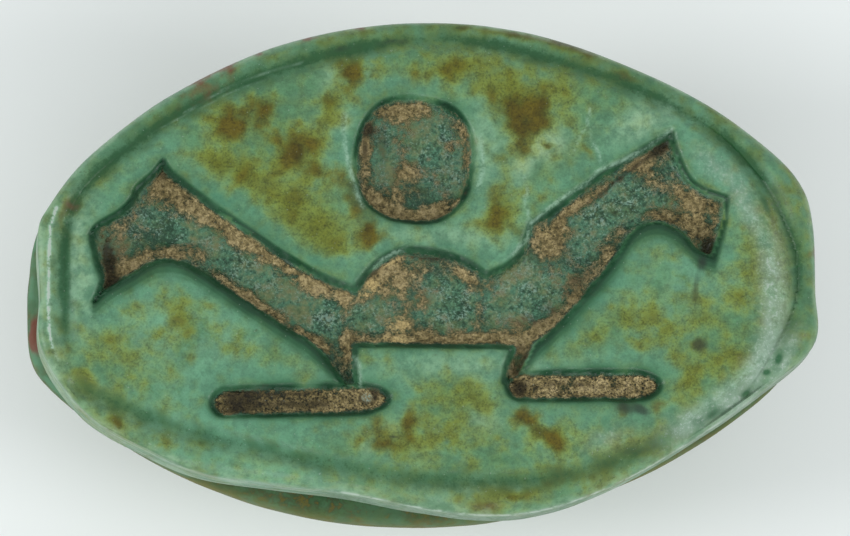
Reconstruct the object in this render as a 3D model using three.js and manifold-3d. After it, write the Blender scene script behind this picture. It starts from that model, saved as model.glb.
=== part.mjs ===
// A pierced cowroid seal, carved from one small stone and glazed: a pointed oval plate with a sunk
// design on its flat face, a groove round its side, and a plain domed back.
// Millimetres, +Z up. It lies on its back with the carved face up. X runs along the string hole,
// and the origin is under the middle, on the small flat that the back rests on.
import * as THREE from "three";
import { mergeVertices } from "three/addons/utils/BufferGeometryUtils.js";
import Module from "manifold-3d";

// Driving sizes
const seal = { length: 16, width: 10.2, height: 6.2 };
const plate = { thickness: 1.3, topRound: 0.42, underRound: 0.2 };
const waist = { height: 0.9, depth: 0.5 };
const back = { length: 15.8, width: 9.6, endWidth: 3.0, lipRound: 0.3, restLength: 4.4, restFade: 2.2 };
const backShift = [-0.1, -0.18]; // the back lies a little off the plate's middle
const stringHole = { diameter: 1.4, height: 2.95 };
const border = { width: 0.36, depth: 0.2 };
const beast = { depth: 0.5 };
const disc = { length: 2.4, width: 2.6, depth: 0.45, wallRun: 0.16, squareness: 2.5, lean: -8 };
const feet = { width: 0.62, depth: 0.5 };

// How finely the round forms are cut
const detail = { aroundSides: 112, roundSteps: 4, waistSteps: 6, domeSteps: 9, alongBorder: 120, holeSides: 24 };
const clearance = 0.03; // how far each cutter stands proud of the surface it enters

const stoneGlaze = new THREE.MeshStandardMaterial({ color: 0x5f9c7e, roughness: 0.35, metalness: 0 });

const faceHeight = seal.height;
const halfLength = seal.length / 2;
const halfWidth = seal.width / 2;

// Every plan below is in shares of the half length and half width, [along, across], seen from above.

// Edge of the plate, anticlockwise from the lower corner of the right end
const plateOutline = [
  [0.989, -0.312], [0.995, -0.09], [0.987, 0.17], [0.949, 0.327], [0.861, 0.469], [0.698, 0.672],
  [0.47, 0.847], [0.241, 0.964], [0.012, 1.0], [-0.218, 0.963], [-0.448, 0.856], [-0.678, 0.665],
  [-0.856, 0.446], [-0.963, 0.257], [-0.998, 0.136], [-0.994, -0.106], [-0.988, -0.336],
  [-0.867, -0.577], [-0.706, -0.734], [-0.565, -0.835], [-0.391, -0.875], [-0.214, -0.908],
  [-0.04, -0.964], [0.137, -0.999], [0.293, -0.977], [0.484, -0.87], [0.691, -0.681], [0.859, -0.496],
];

// Incised border line: it starts and ends at the gap in the lower left corner
const borderLine = [
  [-0.898, -0.506], [-0.722, -0.622], [-0.549, -0.71], [-0.376, -0.772], [-0.084, -0.847],
  [0.092, -0.868], [0.244, -0.864], [0.396, -0.821], [0.523, -0.745], [0.651, -0.649],
  [0.798, -0.517], [0.892, -0.308], [0.937, -0.147], [0.942, 0.023], [0.921, 0.144], [0.855, 0.354],
  [0.717, 0.573], [0.51, 0.739], [0.269, 0.86], [0.132, 0.905], [-0.005, 0.915], [-0.26, 0.846],
  [-0.535, 0.69], [-0.708, 0.538], [-0.846, 0.364], [-0.904, 0.239], [-0.923, 0.115],
  [-0.926, -0.066], [-0.924, -0.298],
];

// Two foreparts back to back on one body. Each run is smooth, and the runs meet at corners.
const beastRuns = [
  [[-0.666, 0.417], [-0.636, 0.356], [-0.501, 0.195], [-0.368, 0.047], [-0.255, -0.054], [-0.184, -0.094]], // left nape
  [[-0.184, -0.094], [-0.128, 0.006], [-0.064, 0.059], [0.02, 0.055], [0.096, 0.018], [0.151, -0.038]], // hump
  [[0.151, -0.038], [0.202, -0.002], [0.238, 0.055], [0.262, 0.164]], // foot of the right neck
  [[0.262, 0.164], [0.331, 0.232], [0.434, 0.354], [0.537, 0.451], [0.628, 0.536]], // right nape
  [[0.628, 0.536], [0.639, 0.459], [0.664, 0.362], [0.704, 0.305], [0.765, 0.273]], // right brow
  [[0.765, 0.273], [0.756, 0.168], [0.728, 0.031]], // right muzzle
  [[0.728, 0.031], [0.685, 0.059], [0.643, 0.132], [0.585, 0.168], [0.528, 0.132], [0.487, 0.035],
    [0.424, -0.082], [0.352, -0.219], [0.277, -0.319]], // right throat and chest
  [[0.277, -0.319], [0.25, -0.392], [0.233, -0.46]], // right leg, outside
  [[0.233, -0.46], [0.19, -0.472]],
  [[0.19, -0.472], [0.196, -0.404], [0.216, -0.331]], // right leg, inside
  [[0.216, -0.331], [-0.181, -0.323]], // belly
  [[-0.181, -0.323], [-0.186, -0.395], [-0.178, -0.485]], // left leg, inside
  [[-0.178, -0.485], [-0.214, -0.49]],
  [[-0.214, -0.49], [-0.27, -0.359], [-0.337, -0.279], [-0.407, -0.211], [-0.505, -0.106], [-0.57, -0.034],
    [-0.62, 0.006], [-0.684, 0.01], [-0.749, -0.046], [-0.805, -0.098], [-0.843, -0.15]], // left chest and throat
  [[-0.843, -0.15], [-0.823, -0.054], [-0.837, 0.022], [-0.849, 0.123]], // left muzzle
  [[-0.849, 0.123], [-0.832, 0.159], [-0.778, 0.211], [-0.745, 0.264], [-0.73, 0.312], [-0.692, 0.368],
    [-0.666, 0.417]], // left brow
];

const discCentre = [-0.029, 0.424];

// A foot is one stroke of the graver, blunt where it starts and pointed where it leaves
const footStrokes = [
  { from: [-0.551, -0.555], to: [-0.099, -0.537] },
  { from: [0.196, -0.488], to: [0.59, -0.488] },
];

const toPlan = ([along, across]) => new THREE.Vector2(along * halfLength, across * halfWidth);

// A three.js geometry as a solid: only its positions count, and shared corners are merged.
const wasm = await Module();
wasm.setup();
function solidFrom(geometry) {
  const bare = geometry.clone();
  bare.deleteAttribute("normal");
  bare.deleteAttribute("uv");
  const merged = mergeVertices(bare, 1e-4);
  const vertProperties = new Float32Array(merged.attributes.position.array);
  const triVerts = new Uint32Array(merged.index.array);
  return new wasm.Manifold(new wasm.Mesh({ numProp: 3, vertProperties, triVerts }));
}

function geometryFrom(solid) {
  const mesh = solid.getMesh();
  const geometry = new THREE.BufferGeometry();
  geometry.setAttribute("position", new THREE.BufferAttribute(mesh.vertProperties, 3));
  geometry.setIndex(new THREE.BufferAttribute(mesh.triVerts, 1));
  geometry.computeVertexNormals();
  return geometry;
}

// Points moved and stretched so that their box is exactly the length and width given
function fittedTo(points, length, width) {
  const box = new THREE.Box2().setFromPoints(points);
  const size = box.getSize(new THREE.Vector2());
  const centre = box.getCenter(new THREE.Vector2());
  const stretch = new THREE.Vector2(length / size.x, width / size.y);
  return points.map((p) => p.clone().sub(centre).multiply(stretch));
}

// Plan of the plate: evenly spaced points of a smooth closed curve through the outline
function platePlan() {
  const corners = plateOutline.map(toPlan).map((p) => new THREE.Vector3(p.x, p.y, 0));
  const curve = new THREE.CatmullRomCurve3(corners, true, "catmullrom", 0.5);
  const points = curve.getSpacedPoints(detail.aroundSides).slice(0, -1);
  return fittedTo(points.map((p) => new THREE.Vector2(p.x, p.y)), seal.length, seal.width);
}

// Plan of the back on the same rays: two long arcs cut off by flat ends, with rounded corners
function backPlan(plan) {
  const endReach = back.length / 2;
  const sideReach = back.width / 2;
  const rise = sideReach - back.endWidth / 2;
  const arcRadius = (endReach ** 2 + rise ** 2) / (2 * rise);
  const arcDrop = arcRadius - sideReach;
  const cornerPower = 14;
  return plan.map((p) => {
    const cosine = Math.abs(p.x) / p.length();
    const sine = Math.abs(p.y) / p.length();
    const toArc = Math.sqrt(arcRadius ** 2 - (arcDrop * cosine) ** 2) - arcDrop * sine;
    const toEnd = endReach / Math.max(cosine, 1e-6);
    const reach = (toArc ** -cornerPower + toEnd ** -cornerPower) ** (-1 / cornerPower);
    return p.clone().setLength(reach);
  });
}

// A closed plan taken in by a distance, measured square to its edge
function takenIn(plan, distance) {
  const count = plan.length;
  return plan.map((p, i) => {
    const along = plan[(i + 1) % count].clone().sub(plan[(i + count - 1) % count]).normalize();
    return new THREE.Vector2(p.x - along.y * distance, p.y + along.x * distance);
  });
}

// The rings of points that the body's skin passes through, from the face down to the rest
function bodyRings() {
  const plan = platePlan();
  const centred = backPlan(plan);
  const shift = new THREE.Vector2(...backShift);
  const underPlan = centred.map((p) => p.clone().add(shift));
  const rings = [];
  const addRing = (ring, height) => rings.push(ring.map((p) => new THREE.Vector3(p.x, p.y, height)));

  for (let i = 0; i <= detail.roundSteps; i++) {
    const turn = (i / detail.roundSteps) * (Math.PI / 2);
    const inset = plate.topRound * (1 - Math.sin(turn));
    addRing(takenIn(plan, inset), faceHeight - plate.topRound * (1 - Math.cos(turn)));
  }
  const plateUnder = faceHeight - plate.thickness;
  addRing(plan, plateUnder + plate.underRound);
  for (let i = 0; i <= detail.waistSteps; i++) {
    const share = i / detail.waistSteps;
    const inset = plate.underRound + waist.depth * Math.sin(share * Math.PI);
    const ring = plan.map((p, k) => p.clone().lerp(underPlan[k], share));
    addRing(takenIn(ring, inset), plateUnder - waist.height * share);
  }
  const lipHeight = plateUnder - waist.height - back.lipRound;
  addRing(underPlan, lipHeight);

  // Below the lip the plan shrinks to the rest while the height falls off as a superellipse
  const restShare = back.restLength / back.length;
  const bulge = (share) => Math.sqrt(1 - share ** back.restFade);
  for (let i = 1; i <= detail.domeSteps; i++) {
    const turn = (i / detail.domeSteps) * Math.acos(restShare);
    const share = Math.cos(turn);
    const height = lipHeight * (1 - bulge(share) / bulge(restShare));
    addRing(centred.map((p) => p.clone().multiplyScalar(share).add(shift)), height);
  }
  return rings;
}

// Skin over a stack of rings, closed at both ends by a fan
function skinOver(rings) {
  const around = rings[0].length;
  const positions = rings.flat().flatMap((p) => [p.x, p.y, p.z]);
  const faces = [];
  for (let j = 0; j + 1 < rings.length; j++) {
    for (let i = 0; i < around; i++) {
      const here = j * around + i;
      const next = j * around + ((i + 1) % around);
      faces.push(here, here + around, next + around, here, next + around, next);
    }
  }
  const top = positions.length / 3;
  const bottom = top + 1;
  positions.push(0, 0, rings[0][0].z, 0, 0, rings.at(-1)[0].z);
  const last = (rings.length - 1) * around;
  for (let i = 0; i < around; i++) {
    const next = (i + 1) % around;
    faces.push(top, i, next, bottom, last + next, last + i);
  }
  const geometry = new THREE.BufferGeometry();
  geometry.setAttribute("position", new THREE.Float32BufferAttribute(positions, 3));
  geometry.setIndex(faces);
  return geometry;
}

// A cutter for a sunk shape with a flat floor and upright walls
function sunk(shape, { depth }) {
  const geometry = new THREE.ExtrudeGeometry(shape, { depth: depth + clearance, bevelEnabled: false });
  geometry.translate(0, 0, faceHeight - depth);
  return solidFrom(geometry);
}

// A cutter for a sunk bowl: its walls lean in by wallRun from the face down to a flat floor
function sunkBowl(shape, { depth, wallRun }) {
  const geometry = new THREE.ExtrudeGeometry(shape, {
    depth: clearance,
    bevelThickness: depth,
    bevelSize: wallRun,
    bevelOffset: -wallRun,
    bevelSegments: 2,
  });
  geometry.translate(0, 0, faceHeight);
  return solidFrom(geometry);
}

function beastShape() {
  const shape = new THREE.Shape();
  const smoothSteps = 4; // straight pieces to each stretch between two points
  const first = toPlan(beastRuns[0][0]);
  shape.moveTo(first.x, first.y);
  for (const run of beastRuns) {
    const points = run.map(toPlan);
    const steps = points.length > 2 ? smoothSteps * (points.length - 1) : 1;
    for (const p of new THREE.SplineCurve(points).getPoints(steps).slice(1)) shape.lineTo(p.x, p.y);
  }
  return shape;
}

// A rounded square: a superellipse, leaning a little
function discShape() {
  const centre = toPlan(discCentre);
  const sides = 44;
  const power = 2 / disc.squareness;
  const bend = (value) => Math.sign(value) * Math.abs(value) ** power;
  const points = Array.from({ length: sides }, (_, i) => {
    const turn = (i / sides) * 2 * Math.PI;
    const p = new THREE.Vector2((bend(Math.cos(turn)) * disc.length) / 2, (bend(Math.sin(turn)) * disc.width) / 2);
    return p.rotateAround(new THREE.Vector2(), THREE.MathUtils.degToRad(disc.lean)).add(centre);
  });
  return new THREE.Shape(points);
}

// Outline of one graver stroke: full width soon after its blunt start, tapering to its tip
function footShape({ from, to }) {
  const start = toPlan(from);
  const run = toPlan(to).sub(start);
  const aside = new THREE.Vector2(-run.y, run.x).normalize();
  const stepsAlong = 14;
  const edge = (side) =>
    Array.from({ length: stepsAlong - 1 }, (_, i) => {
      const share = (1 - Math.cos((Math.PI * (i + 1)) / stepsAlong)) / 2;
      const fullness = Math.min(1, share / 0.12) ** 0.5 * Math.min(1, (1 - share) / 0.35) ** 0.7;
      return start.clone().addScaledVector(run, share).addScaledVector(aside, (side * fullness * feet.width) / 2);
    });
  return new THREE.Shape([start, ...edge(-1), start.clone().add(run), ...edge(1).reverse()]);
}

// A round groove: a circle swept along the border line, cutting to the border's width and depth
function borderCutter() {
  const radius = ((border.width / 2) ** 2 + border.depth ** 2) / (2 * border.depth);
  const height = faceHeight + radius - border.depth;
  const points = borderLine.map(toPlan).map((p) => new THREE.Vector3(p.x, p.y, height));
  const section = new THREE.Shape().absarc(0, 0, radius, 0, 2 * Math.PI);
  const geometry = new THREE.ExtrudeGeometry(section, {
    steps: detail.alongBorder,
    curveSegments: 5,
    bevelEnabled: false,
    extrudePath: new THREE.CatmullRomCurve3(points, false, "catmullrom", 0.5),
  });
  return solidFrom(geometry);
}

function stringHoleCutter() {
  const radius = stringHole.diameter / 2;
  const span = seal.length + back.length; // so that it passes both ends
  const geometry = new THREE.CylinderGeometry(radius, radius, span, detail.holeSides);
  geometry.rotateZ(Math.PI / 2);
  geometry.translate(0, 0, stringHole.height);
  return solidFrom(geometry);
}

const cutters = [
  sunk(beastShape(), beast),
  sunkBowl(discShape(), disc),
  ...footStrokes.map((stroke) => sunk(footShape(stroke), feet)),
  borderCutter(),
  stringHoleCutter(),
];
const carved = cutters.reduce((body, cutter) => body.subtract(cutter), solidFrom(skinOver(bodyRings())));

const cowroid = new THREE.Mesh(geometryFrom(carved), stoneGlaze);
cowroid.name = "cowroid";

const group = new THREE.Group();
group.add(cowroid);

export default group;
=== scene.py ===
import bpy
import numpy as np
from mathutils import Matrix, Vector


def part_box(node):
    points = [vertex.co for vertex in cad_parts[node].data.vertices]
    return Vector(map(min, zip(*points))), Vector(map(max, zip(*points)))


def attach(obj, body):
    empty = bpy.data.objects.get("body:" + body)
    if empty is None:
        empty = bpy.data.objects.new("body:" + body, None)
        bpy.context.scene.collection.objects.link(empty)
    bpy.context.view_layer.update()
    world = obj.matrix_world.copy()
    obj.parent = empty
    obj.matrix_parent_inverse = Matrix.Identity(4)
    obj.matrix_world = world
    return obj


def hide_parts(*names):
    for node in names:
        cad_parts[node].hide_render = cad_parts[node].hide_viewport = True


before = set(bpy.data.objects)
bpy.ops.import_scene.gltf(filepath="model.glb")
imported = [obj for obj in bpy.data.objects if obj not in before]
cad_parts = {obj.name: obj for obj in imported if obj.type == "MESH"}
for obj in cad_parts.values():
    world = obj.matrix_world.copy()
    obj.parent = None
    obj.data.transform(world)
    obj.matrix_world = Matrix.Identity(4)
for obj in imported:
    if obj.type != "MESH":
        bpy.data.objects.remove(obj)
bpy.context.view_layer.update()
mm = 0.001

lowCorner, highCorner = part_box("cowroid")
sealLength = (highCorner[0] - lowCorner[0]) / mm
sealWidth = (highCorner[1] - lowCorner[1]) / mm
sealHeight = (highCorner[2] - lowCorner[2]) / mm

# what a user would change on the body, in millimetres
body = {
    "edgeRoll": 0.5,  # radius that the face rolls over with at its edge
    "leftRoll": 0.2,  # the same at the left end, where the edge is sharper
    "leftStep": 0.1,  # at the left end the plate stops this far short of the back
    "leftWaist": 0.45,  # share of the waist's depth that is left there
    "leftAlong": (-4.2, -5.8),  # the left end's own shape comes in over this stretch of the length
    "leftAcross": (2.4, 0.9),  # and over this stretch of the width
    "patchStep": 0.12,  # how far inside the edge the face's grid ends
    "plateThickness": 1.3,
    "underRound": 0.2,  # radius under the plate, and of the inner edge of the lip
    "waistHeight": 0.9,
    "waistDepth": 0.5,
    "endStep": 0.1,  # the back stops this far short of the plate's ends
    "sideStep": 0.3,  # and this far short of its sides
    "endWidth": 3.0,  # width of the back's flat ends
    "backCorners": (18, 44),  # how sharp the back's corners are, at the far side and the near side
    "backShift": (-0.14, -0.18),
    "lipRound": 0.3,
    "restLength": 4.4,  # length of the flat that the seal lies on
    "restFade": 2.2,  # power of the superellipse that the dome follows
    "stringHole": 1.4,
    "stringHoleHeight": 2.95,
    "handWobble": 0.035,  # how uneven the hand left the sides
    "wobbleSize": 2.2,
}

# how finely the surface is divided: squares of the face's grid, rings of the side, sides of the hole
fineness = {
    "columns": 296, "rows": 178, "rollRings": 6, "uprightRings": 8, "roundRings": 4, "waistRings": 18,
    "domeRings": 37, "holeSides": 56, "outlinePoints": 1600, "rimPoints": 420,
}

# the carving and the relief of the face, in millimetres
carving = {
    "beastDepth": 0.46,
    "discDepth": 0.46,
    "footDepth": 0.36,
    "wallInside": 0.19,  # the wall runs in this far
    "wallOutside": 0.09,  # and its soft shoulder this far out
    "wallUnrest": 0.025,  # how far the walls wander
    "bowl": 0.15,  # share of the depth by which a floor rises towards its walls
    "borderDepth": 0.15,
    "borderHalf": 0.32,
    "shoulderFall": 0.05,  # the face falls this much towards the border
    "nearFall": 0.05,  # the rim outside the border is this much lower at the near side
    "nearAcross": (-1.0, -3.5),  # the near side comes in over this stretch of the width
    "depositHeight": 0.07,
    "depositGrain": 0.035,
    "footFill": 0.05,
    "driftFall": 0.05,  # the face is this much lower where glaze ran down from the animal
    "driftReach": 0.07,
    "driftRuns": ((0.1, 0.9), (0.2, 0.65), (0.3, 0.38), (0.4, 0.16)),  # how far it ran, and how strongly
    "groundWave": 0.012,
    "groundGrain": 0.003,
    "discHalf": (1.2, 1.3),
    "discSquareness": 2.5,
    "discLean": -8.0,
    "discCentre": (-0.029, 0.424),
    "footHalf": 0.31,
    "footEnds": (0.09, 0.2),  # shares of a foot's length that its start and its tip are rounded over
    "feet": (((-0.551, -0.555), (-0.099, -0.537)), ((0.196, -0.488), (0.59, -0.488))),
    "pebbleAt": (-1.245, -2.7),  # a grain stuck in the left foot
    "pebbleRadius": 0.1,
}

# plans in shares of the half length and the half width, seen from above
plateOutline = [
    (0.989, -0.312), (0.995, -0.09), (0.991, 0.185), (0.96, 0.345), (0.873, 0.495), (0.704, 0.687),
    (0.473, 0.855), (0.241, 0.964), (0.012, 1), (-0.218, 0.963), (-0.448, 0.856), (-0.678, 0.665),
    (-0.856, 0.446), (-0.963, 0.257), (-0.998, 0.136), (-0.994, -0.106), (-0.99, -0.348), (-0.875, -0.593),
    (-0.712, -0.746), (-0.565, -0.835), (-0.391, -0.875), (-0.214, -0.908), (-0.04, -0.964),
    (0.137, -0.999), (0.293, -0.977), (0.484, -0.87), (0.691, -0.681), (0.859, -0.496),
]
plateCorners = ((-0.98, -0.36), (0.98, -0.34), (0.965, 0.29), (-0.975, 0.235))
borderLine = [
    (-0.885, -0.48), (-0.722, -0.603), (-0.549, -0.69), (-0.376, -0.758), (-0.084, -0.843), (0.092, -0.868),
    (0.244, -0.864), (0.396, -0.821), (0.523, -0.745), (0.651, -0.649), (0.798, -0.517), (0.892, -0.308),
    (0.937, -0.147), (0.942, 0.023), (0.921, 0.144), (0.855, 0.354), (0.717, 0.573), (0.51, 0.739),
    (0.269, 0.86), (0.132, 0.905), (-0.005, 0.915), (-0.26, 0.846), (-0.535, 0.69), (-0.705, 0.533),
    (-0.838, 0.36), (-0.895, 0.239), (-0.914, 0.115), (-0.919, -0.066), (-0.918, -0.298),
]
# the animal's outline, run by run between its sharp corners
beastRuns = [
    [(-0.666, 0.417), (-0.636, 0.356), (-0.501, 0.195), (-0.368, 0.047), (-0.255, -0.054), (-0.184, -0.094)],
    [(-0.184, -0.094), (-0.128, 0.006), (-0.064, 0.059), (0.02, 0.055), (0.096, 0.018), (0.151, -0.038)],
    [(0.151, -0.038), (0.202, -0.002), (0.238, 0.055), (0.262, 0.164)],
    [(0.262, 0.164), (0.331, 0.232), (0.434, 0.354), (0.537, 0.451), (0.628, 0.536)],
    [(0.628, 0.536), (0.639, 0.459), (0.664, 0.362), (0.704, 0.305), (0.765, 0.273)],
    [(0.765, 0.273), (0.756, 0.168), (0.728, 0.031)],
    [(0.728, 0.031), (0.685, 0.059), (0.643, 0.132), (0.585, 0.168), (0.528, 0.132), (0.487, 0.035),
        (0.424, -0.082), (0.352, -0.219), (0.277, -0.319)],
    [(0.277, -0.319), (0.25, -0.392), (0.233, -0.46)],
    [(0.233, -0.46), (0.19, -0.472)],
    [(0.19, -0.472), (0.196, -0.404), (0.216, -0.331)],
    [(0.216, -0.331), (-0.181, -0.323)],
    [(-0.181, -0.323), (-0.186, -0.395), (-0.178, -0.485)],
    [(-0.178, -0.485), (-0.214, -0.49)],
    [(-0.214, -0.49), (-0.27, -0.359), (-0.337, -0.279), (-0.407, -0.211), (-0.505, -0.106),
        (-0.57, -0.034), (-0.62, 0.006), (-0.684, 0.01), (-0.749, -0.046), (-0.805, -0.098),
        (-0.843, -0.15)],
    [(-0.843, -0.15), (-0.823, -0.054), (-0.837, 0.022), (-0.849, 0.123)],
    [(-0.849, 0.123), (-0.832, 0.159), (-0.778, 0.211), (-0.745, 0.264), (-0.73, 0.312), (-0.692, 0.368),
        (-0.666, 0.417)],
]


# curves and distances

# Catmull-Rom: between points b and c a cubic that leaves b along (c - a) / 2 and meets c along (d - b) / 2
def smoothCurve(points, closed, perSpan):
    p = np.asarray(points, float)
    if closed:
        a, b, c, d = (np.roll(p, k, axis=0) for k in (1, 0, -1, -2))
    else:
        b, c = p[:-1], p[1:]
        a, d = np.vstack([p[:1], p[:-2]]), np.vstack([p[2:], p[-1:]])
    t = (np.arange(perSpan) / perSpan)[None, :, None]
    a, b, c, d = (q[:, None, :] for q in (a, b, c, d))
    leave, meet = (c - a) / 2, (d - b) / 2
    curve = (2 * b - 2 * c + leave + meet) * t**3 + (3 * c - 3 * b - 2 * leave - meet) * t**2 + leave * t + b
    curve = curve.reshape(-1, 2)
    return curve if closed else np.vstack([curve, p[-1:]])


# points at equal steps of the length run along a line
def evenSteps(line, count, closed):
    line = np.vstack([line, line[:1]]) if closed else line
    run = np.concatenate([[0], np.cumsum(np.linalg.norm(np.diff(line, axis=0), axis=1))])
    steps = np.linspace(0, run[-1], count + 1)[:-1] if closed else np.linspace(0, run[-1], count)
    return np.stack([np.interp(steps, run, line[:, k]) for k in (0, 1)], axis=1)


# points are taken in blocks, so that the tables of all their distances stay small
blockSize = 6000


# for each point the nearest place on a line: how far it is and which way it lies;
# on each piece that place is the point's share along it, held between 0 and 1
def nearestOn(points, line, closed):
    a = line if closed else line[:-1]
    b = np.roll(line, -1, axis=0) if closed else line[1:]
    way = b - a
    length2 = (way**2).sum(1) + 1e-12
    far = np.empty(len(points))
    off = np.empty((len(points), 2))
    for start in range(0, len(points), blockSize):
        q = points[start:start + blockSize, None, :]
        share = np.clip(((q - a) * way).sum(2) / length2, 0, 1)
        gap = q - (a + share[..., None] * way)
        size = (gap**2).sum(2)
        best = size.argmin(1)
        row = np.arange(len(best))
        far[start:start + blockSize] = np.sqrt(size[row, best])
        off[start:start + blockSize] = gap[row, best]
    return far, off


# a point is inside a closed line if a ray from it to the right crosses the line an odd number of times
def insideOf(points, line):
    a, b = line, np.roll(line, -1, axis=0)
    within = np.zeros(len(points), bool)
    for start in range(0, len(points), blockSize):
        x, y = points[start:start + blockSize, 0:1], points[start:start + blockSize, 1:2]
        straddles = (a[:, 1] > y) != (b[:, 1] > y)
        crossing = a[:, 0] + (y - a[:, 1]) / (b[:, 1] - a[:, 1] + 1e-12) * (b[:, 0] - a[:, 0])
        within[start:start + blockSize] = (straddles & (x < crossing)).sum(1) % 2 == 1
    return within


# distance to a closed line, negative inside
def signedDistance(points, line):
    far, _ = nearestOn(points, line, True)
    return np.where(insideOf(points, line), -far, far)


# 0 below the low value and 1 above the high one, and t t (3 - 2 t) of the share t between them
def softStep(low, high, value):
    t = np.clip((value - low) / (high - low), 0, 1)
    return t * t * (3 - 2 * t)


# 1 on a line and less away from it, as exp of minus the squared distance in its own reach
def fallOff(distance, reach):
    return np.exp(-(distance / reach)**2)


# points of the face with a height of nothing, for the noise, which lies in space
def onPlane(points):
    return np.column_stack([points[:, :2], np.zeros(len(points))])


# noise worked out in whole arrays

hashPrimes = np.array([374761393, 668265263, 2147483647])
mixPrime = 1274126177


# a fixed height from -1 to 1 for each whole place: its coordinates times large primes, mixed by shifts
def latticeHash(cell, seed):
    h = ((cell * hashPrimes).sum(-1) + seed * mixPrime) & 0xFFFFFFFF
    h = ((h ^ (h >> 13)) * mixPrime) & 0xFFFFFFFF
    return ((h ^ (h >> 16)) & 0xFFFF) / 32767.5 - 1


# value noise from -1 to 1: heights at whole coordinates, joined by a soft step along each axis
def valueNoise(points, size, seed):
    scaled = points / size
    cell = np.floor(scaled).astype(np.int64)
    share = softStep(0, 1, scaled - cell)
    total = np.zeros(len(points))
    for corner in np.ndindex(2, 2, 2):
        weight = np.prod(np.where(corner, share, 1 - share), axis=1)
        total += weight * latticeHash(cell + np.array(corner), seed)
    return total


# a few layers, each half the size and a little over half the height of the one before
def layeredNoise(points, size, seed, layers=3):
    total, height = np.zeros(len(points)), 1.0
    for layer in range(layers):
        total += height * valueNoise(points + 17.3 * layer, size / 2**layer, seed + layer)
        height *= 0.55
    return total / 1.6


# plans

halfSize = np.array([sealLength, sealWidth]) / 2
plateUnder = sealHeight - body["plateThickness"]
lipTop = plateUnder - body["waistHeight"]
lipLow = lipTop - body["lipRound"]
backShift = np.array(body["backShift"])


# shares of the half length and the half width, in millimetres
def inPlan(shares):
    return np.asarray(shares, float) * halfSize


# the plate's edge: the smooth outline, moved and stretched to fit the seal's length and width exactly
def platePlan():
    curve = smoothCurve(inPlan(plateOutline), True, 40)
    low, high = curve.min(0), curve.max(0)
    return (curve - (low + high) / 2) * (2 * halfSize / (high - low))


# each point of a closed plan moved in, square to the edge smoothed over a short run
def movedIn(plan, distance, smoothing=12):
    way = np.roll(plan, -1, axis=0) - np.roll(plan, 1, axis=0)
    for _ in range(smoothing):
        way = (np.roll(way, 1, axis=0) + 2 * way + np.roll(way, -1, axis=0)) / 4
    way /= np.linalg.norm(way, axis=1)[:, None]
    return plan + np.stack([-way[:, 1], way[:, 0]], axis=1) * distance


# the back's edge on the rays of another plan: two long arcs and two flat ends, joined by a smooth least
# value, the sum of both reaches to a high negative power
def backPlan(rays):
    endReach = halfSize[0] - body["endStep"]
    sideReach = halfSize[1] - body["sideStep"]
    rise = sideReach - body["endWidth"] / 2
    arcRadius = (endReach**2 + rise**2) / (2 * rise)
    arcDrop = arcRadius - sideReach
    ray = rays / np.linalg.norm(rays, axis=1)[:, None]
    toArc = np.sqrt(arcRadius**2 - (arcDrop * np.abs(ray[:, 0]))**2) - arcDrop * np.abs(ray[:, 1])
    toEnd = endReach / np.maximum(np.abs(ray[:, 0]), 1e-6)
    farPower, nearPower = body["backCorners"]
    power = farPower + (nearPower - farPower) * softStep(0.5, -1.0, rays[:, 1])
    reach = (toArc**-power + toEnd**-power) ** (-1 / power)
    return ray * reach[:, None]


# the animal's edge: straight runs of two points, and curves through the longer ones
def beastPlan():
    pieces = [smoothCurve(inPlan(run), False, 8 if len(run) > 2 else 1)[:-1] for run in beastRuns]
    return np.vstack(pieces)


# a superellipse, leaning a little
def discPlan():
    turn = np.linspace(0, 2 * np.pi, 96, endpoint=False)
    power = 2 / carving["discSquareness"]
    x = np.sign(np.cos(turn)) * np.abs(np.cos(turn))**power * carving["discHalf"][0]
    y = np.sign(np.sin(turn)) * np.abs(np.sin(turn))**power * carving["discHalf"][1]
    lean = np.radians(carving["discLean"])
    leaning = np.stack([x * np.cos(lean) - y * np.sin(lean), x * np.sin(lean) + y * np.cos(lean)], axis=1)
    return leaning + inPlan(carving["discCentre"])


# a quarter circle: rises from nothing and is full from one onwards
def roundEnd(share):
    return np.sqrt(1 - (1 - np.clip(share, 0, 1))**2)


# one stroke: its half width is full between a round start and a longer, rounded tip
def footPlan(ends):
    start, end = inPlan(ends[0]), inPlan(ends[1])
    run = end - start
    aside = np.array([-run[1], run[0]]) / np.linalg.norm(run)
    share = (1 - np.cos(np.linspace(0, np.pi, 30)[1:-1])) / 2
    atStart, atTip = carving["footEnds"]
    fullness = roundEnd(share / atStart) * roundEnd((1 - share) / atTip)
    middle = start + run * share[:, None]
    half = aside * (fullness * carving["footHalf"])[:, None]
    return np.vstack([start[None], middle - half, end[None], (middle + half)[::-1]])


# 1 at the left end and the lower left, fading out along the edge as a product of two soft steps
def atLeft(points):
    return softStep(*body["leftAlong"], points[:, 0]) * softStep(*body["leftAcross"], points[:, 1])


# 1 along the near side, a soft step over the width
def atNear(points):
    return softStep(*carving["nearAcross"], points[:, 1])


# the radius of the edge's roll at points: it falls to the left end's as far as they lie there
def rollAt(points):
    return body["edgeRoll"] + (body["leftRoll"] - body["edgeRoll"]) * atLeft(points)


plateEdge = platePlan()
leftStep = body["leftStep"] * atLeft(plateEdge) * (0.2 + 0.8 * softStep(-3.4, -1.6, plateEdge[:, 1]))
plateEdge = movedIn(plateEdge, leftStep[:, None])
rimEdge = evenSteps(plateEdge, fineness["rimPoints"], True)
borderPath = smoothCurve(inPlan(borderLine), False, 12)
beastEdge = beastPlan()
discEdge = discPlan()
footEdges = [footPlan(ends) for ends in carving["feet"]]


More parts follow.
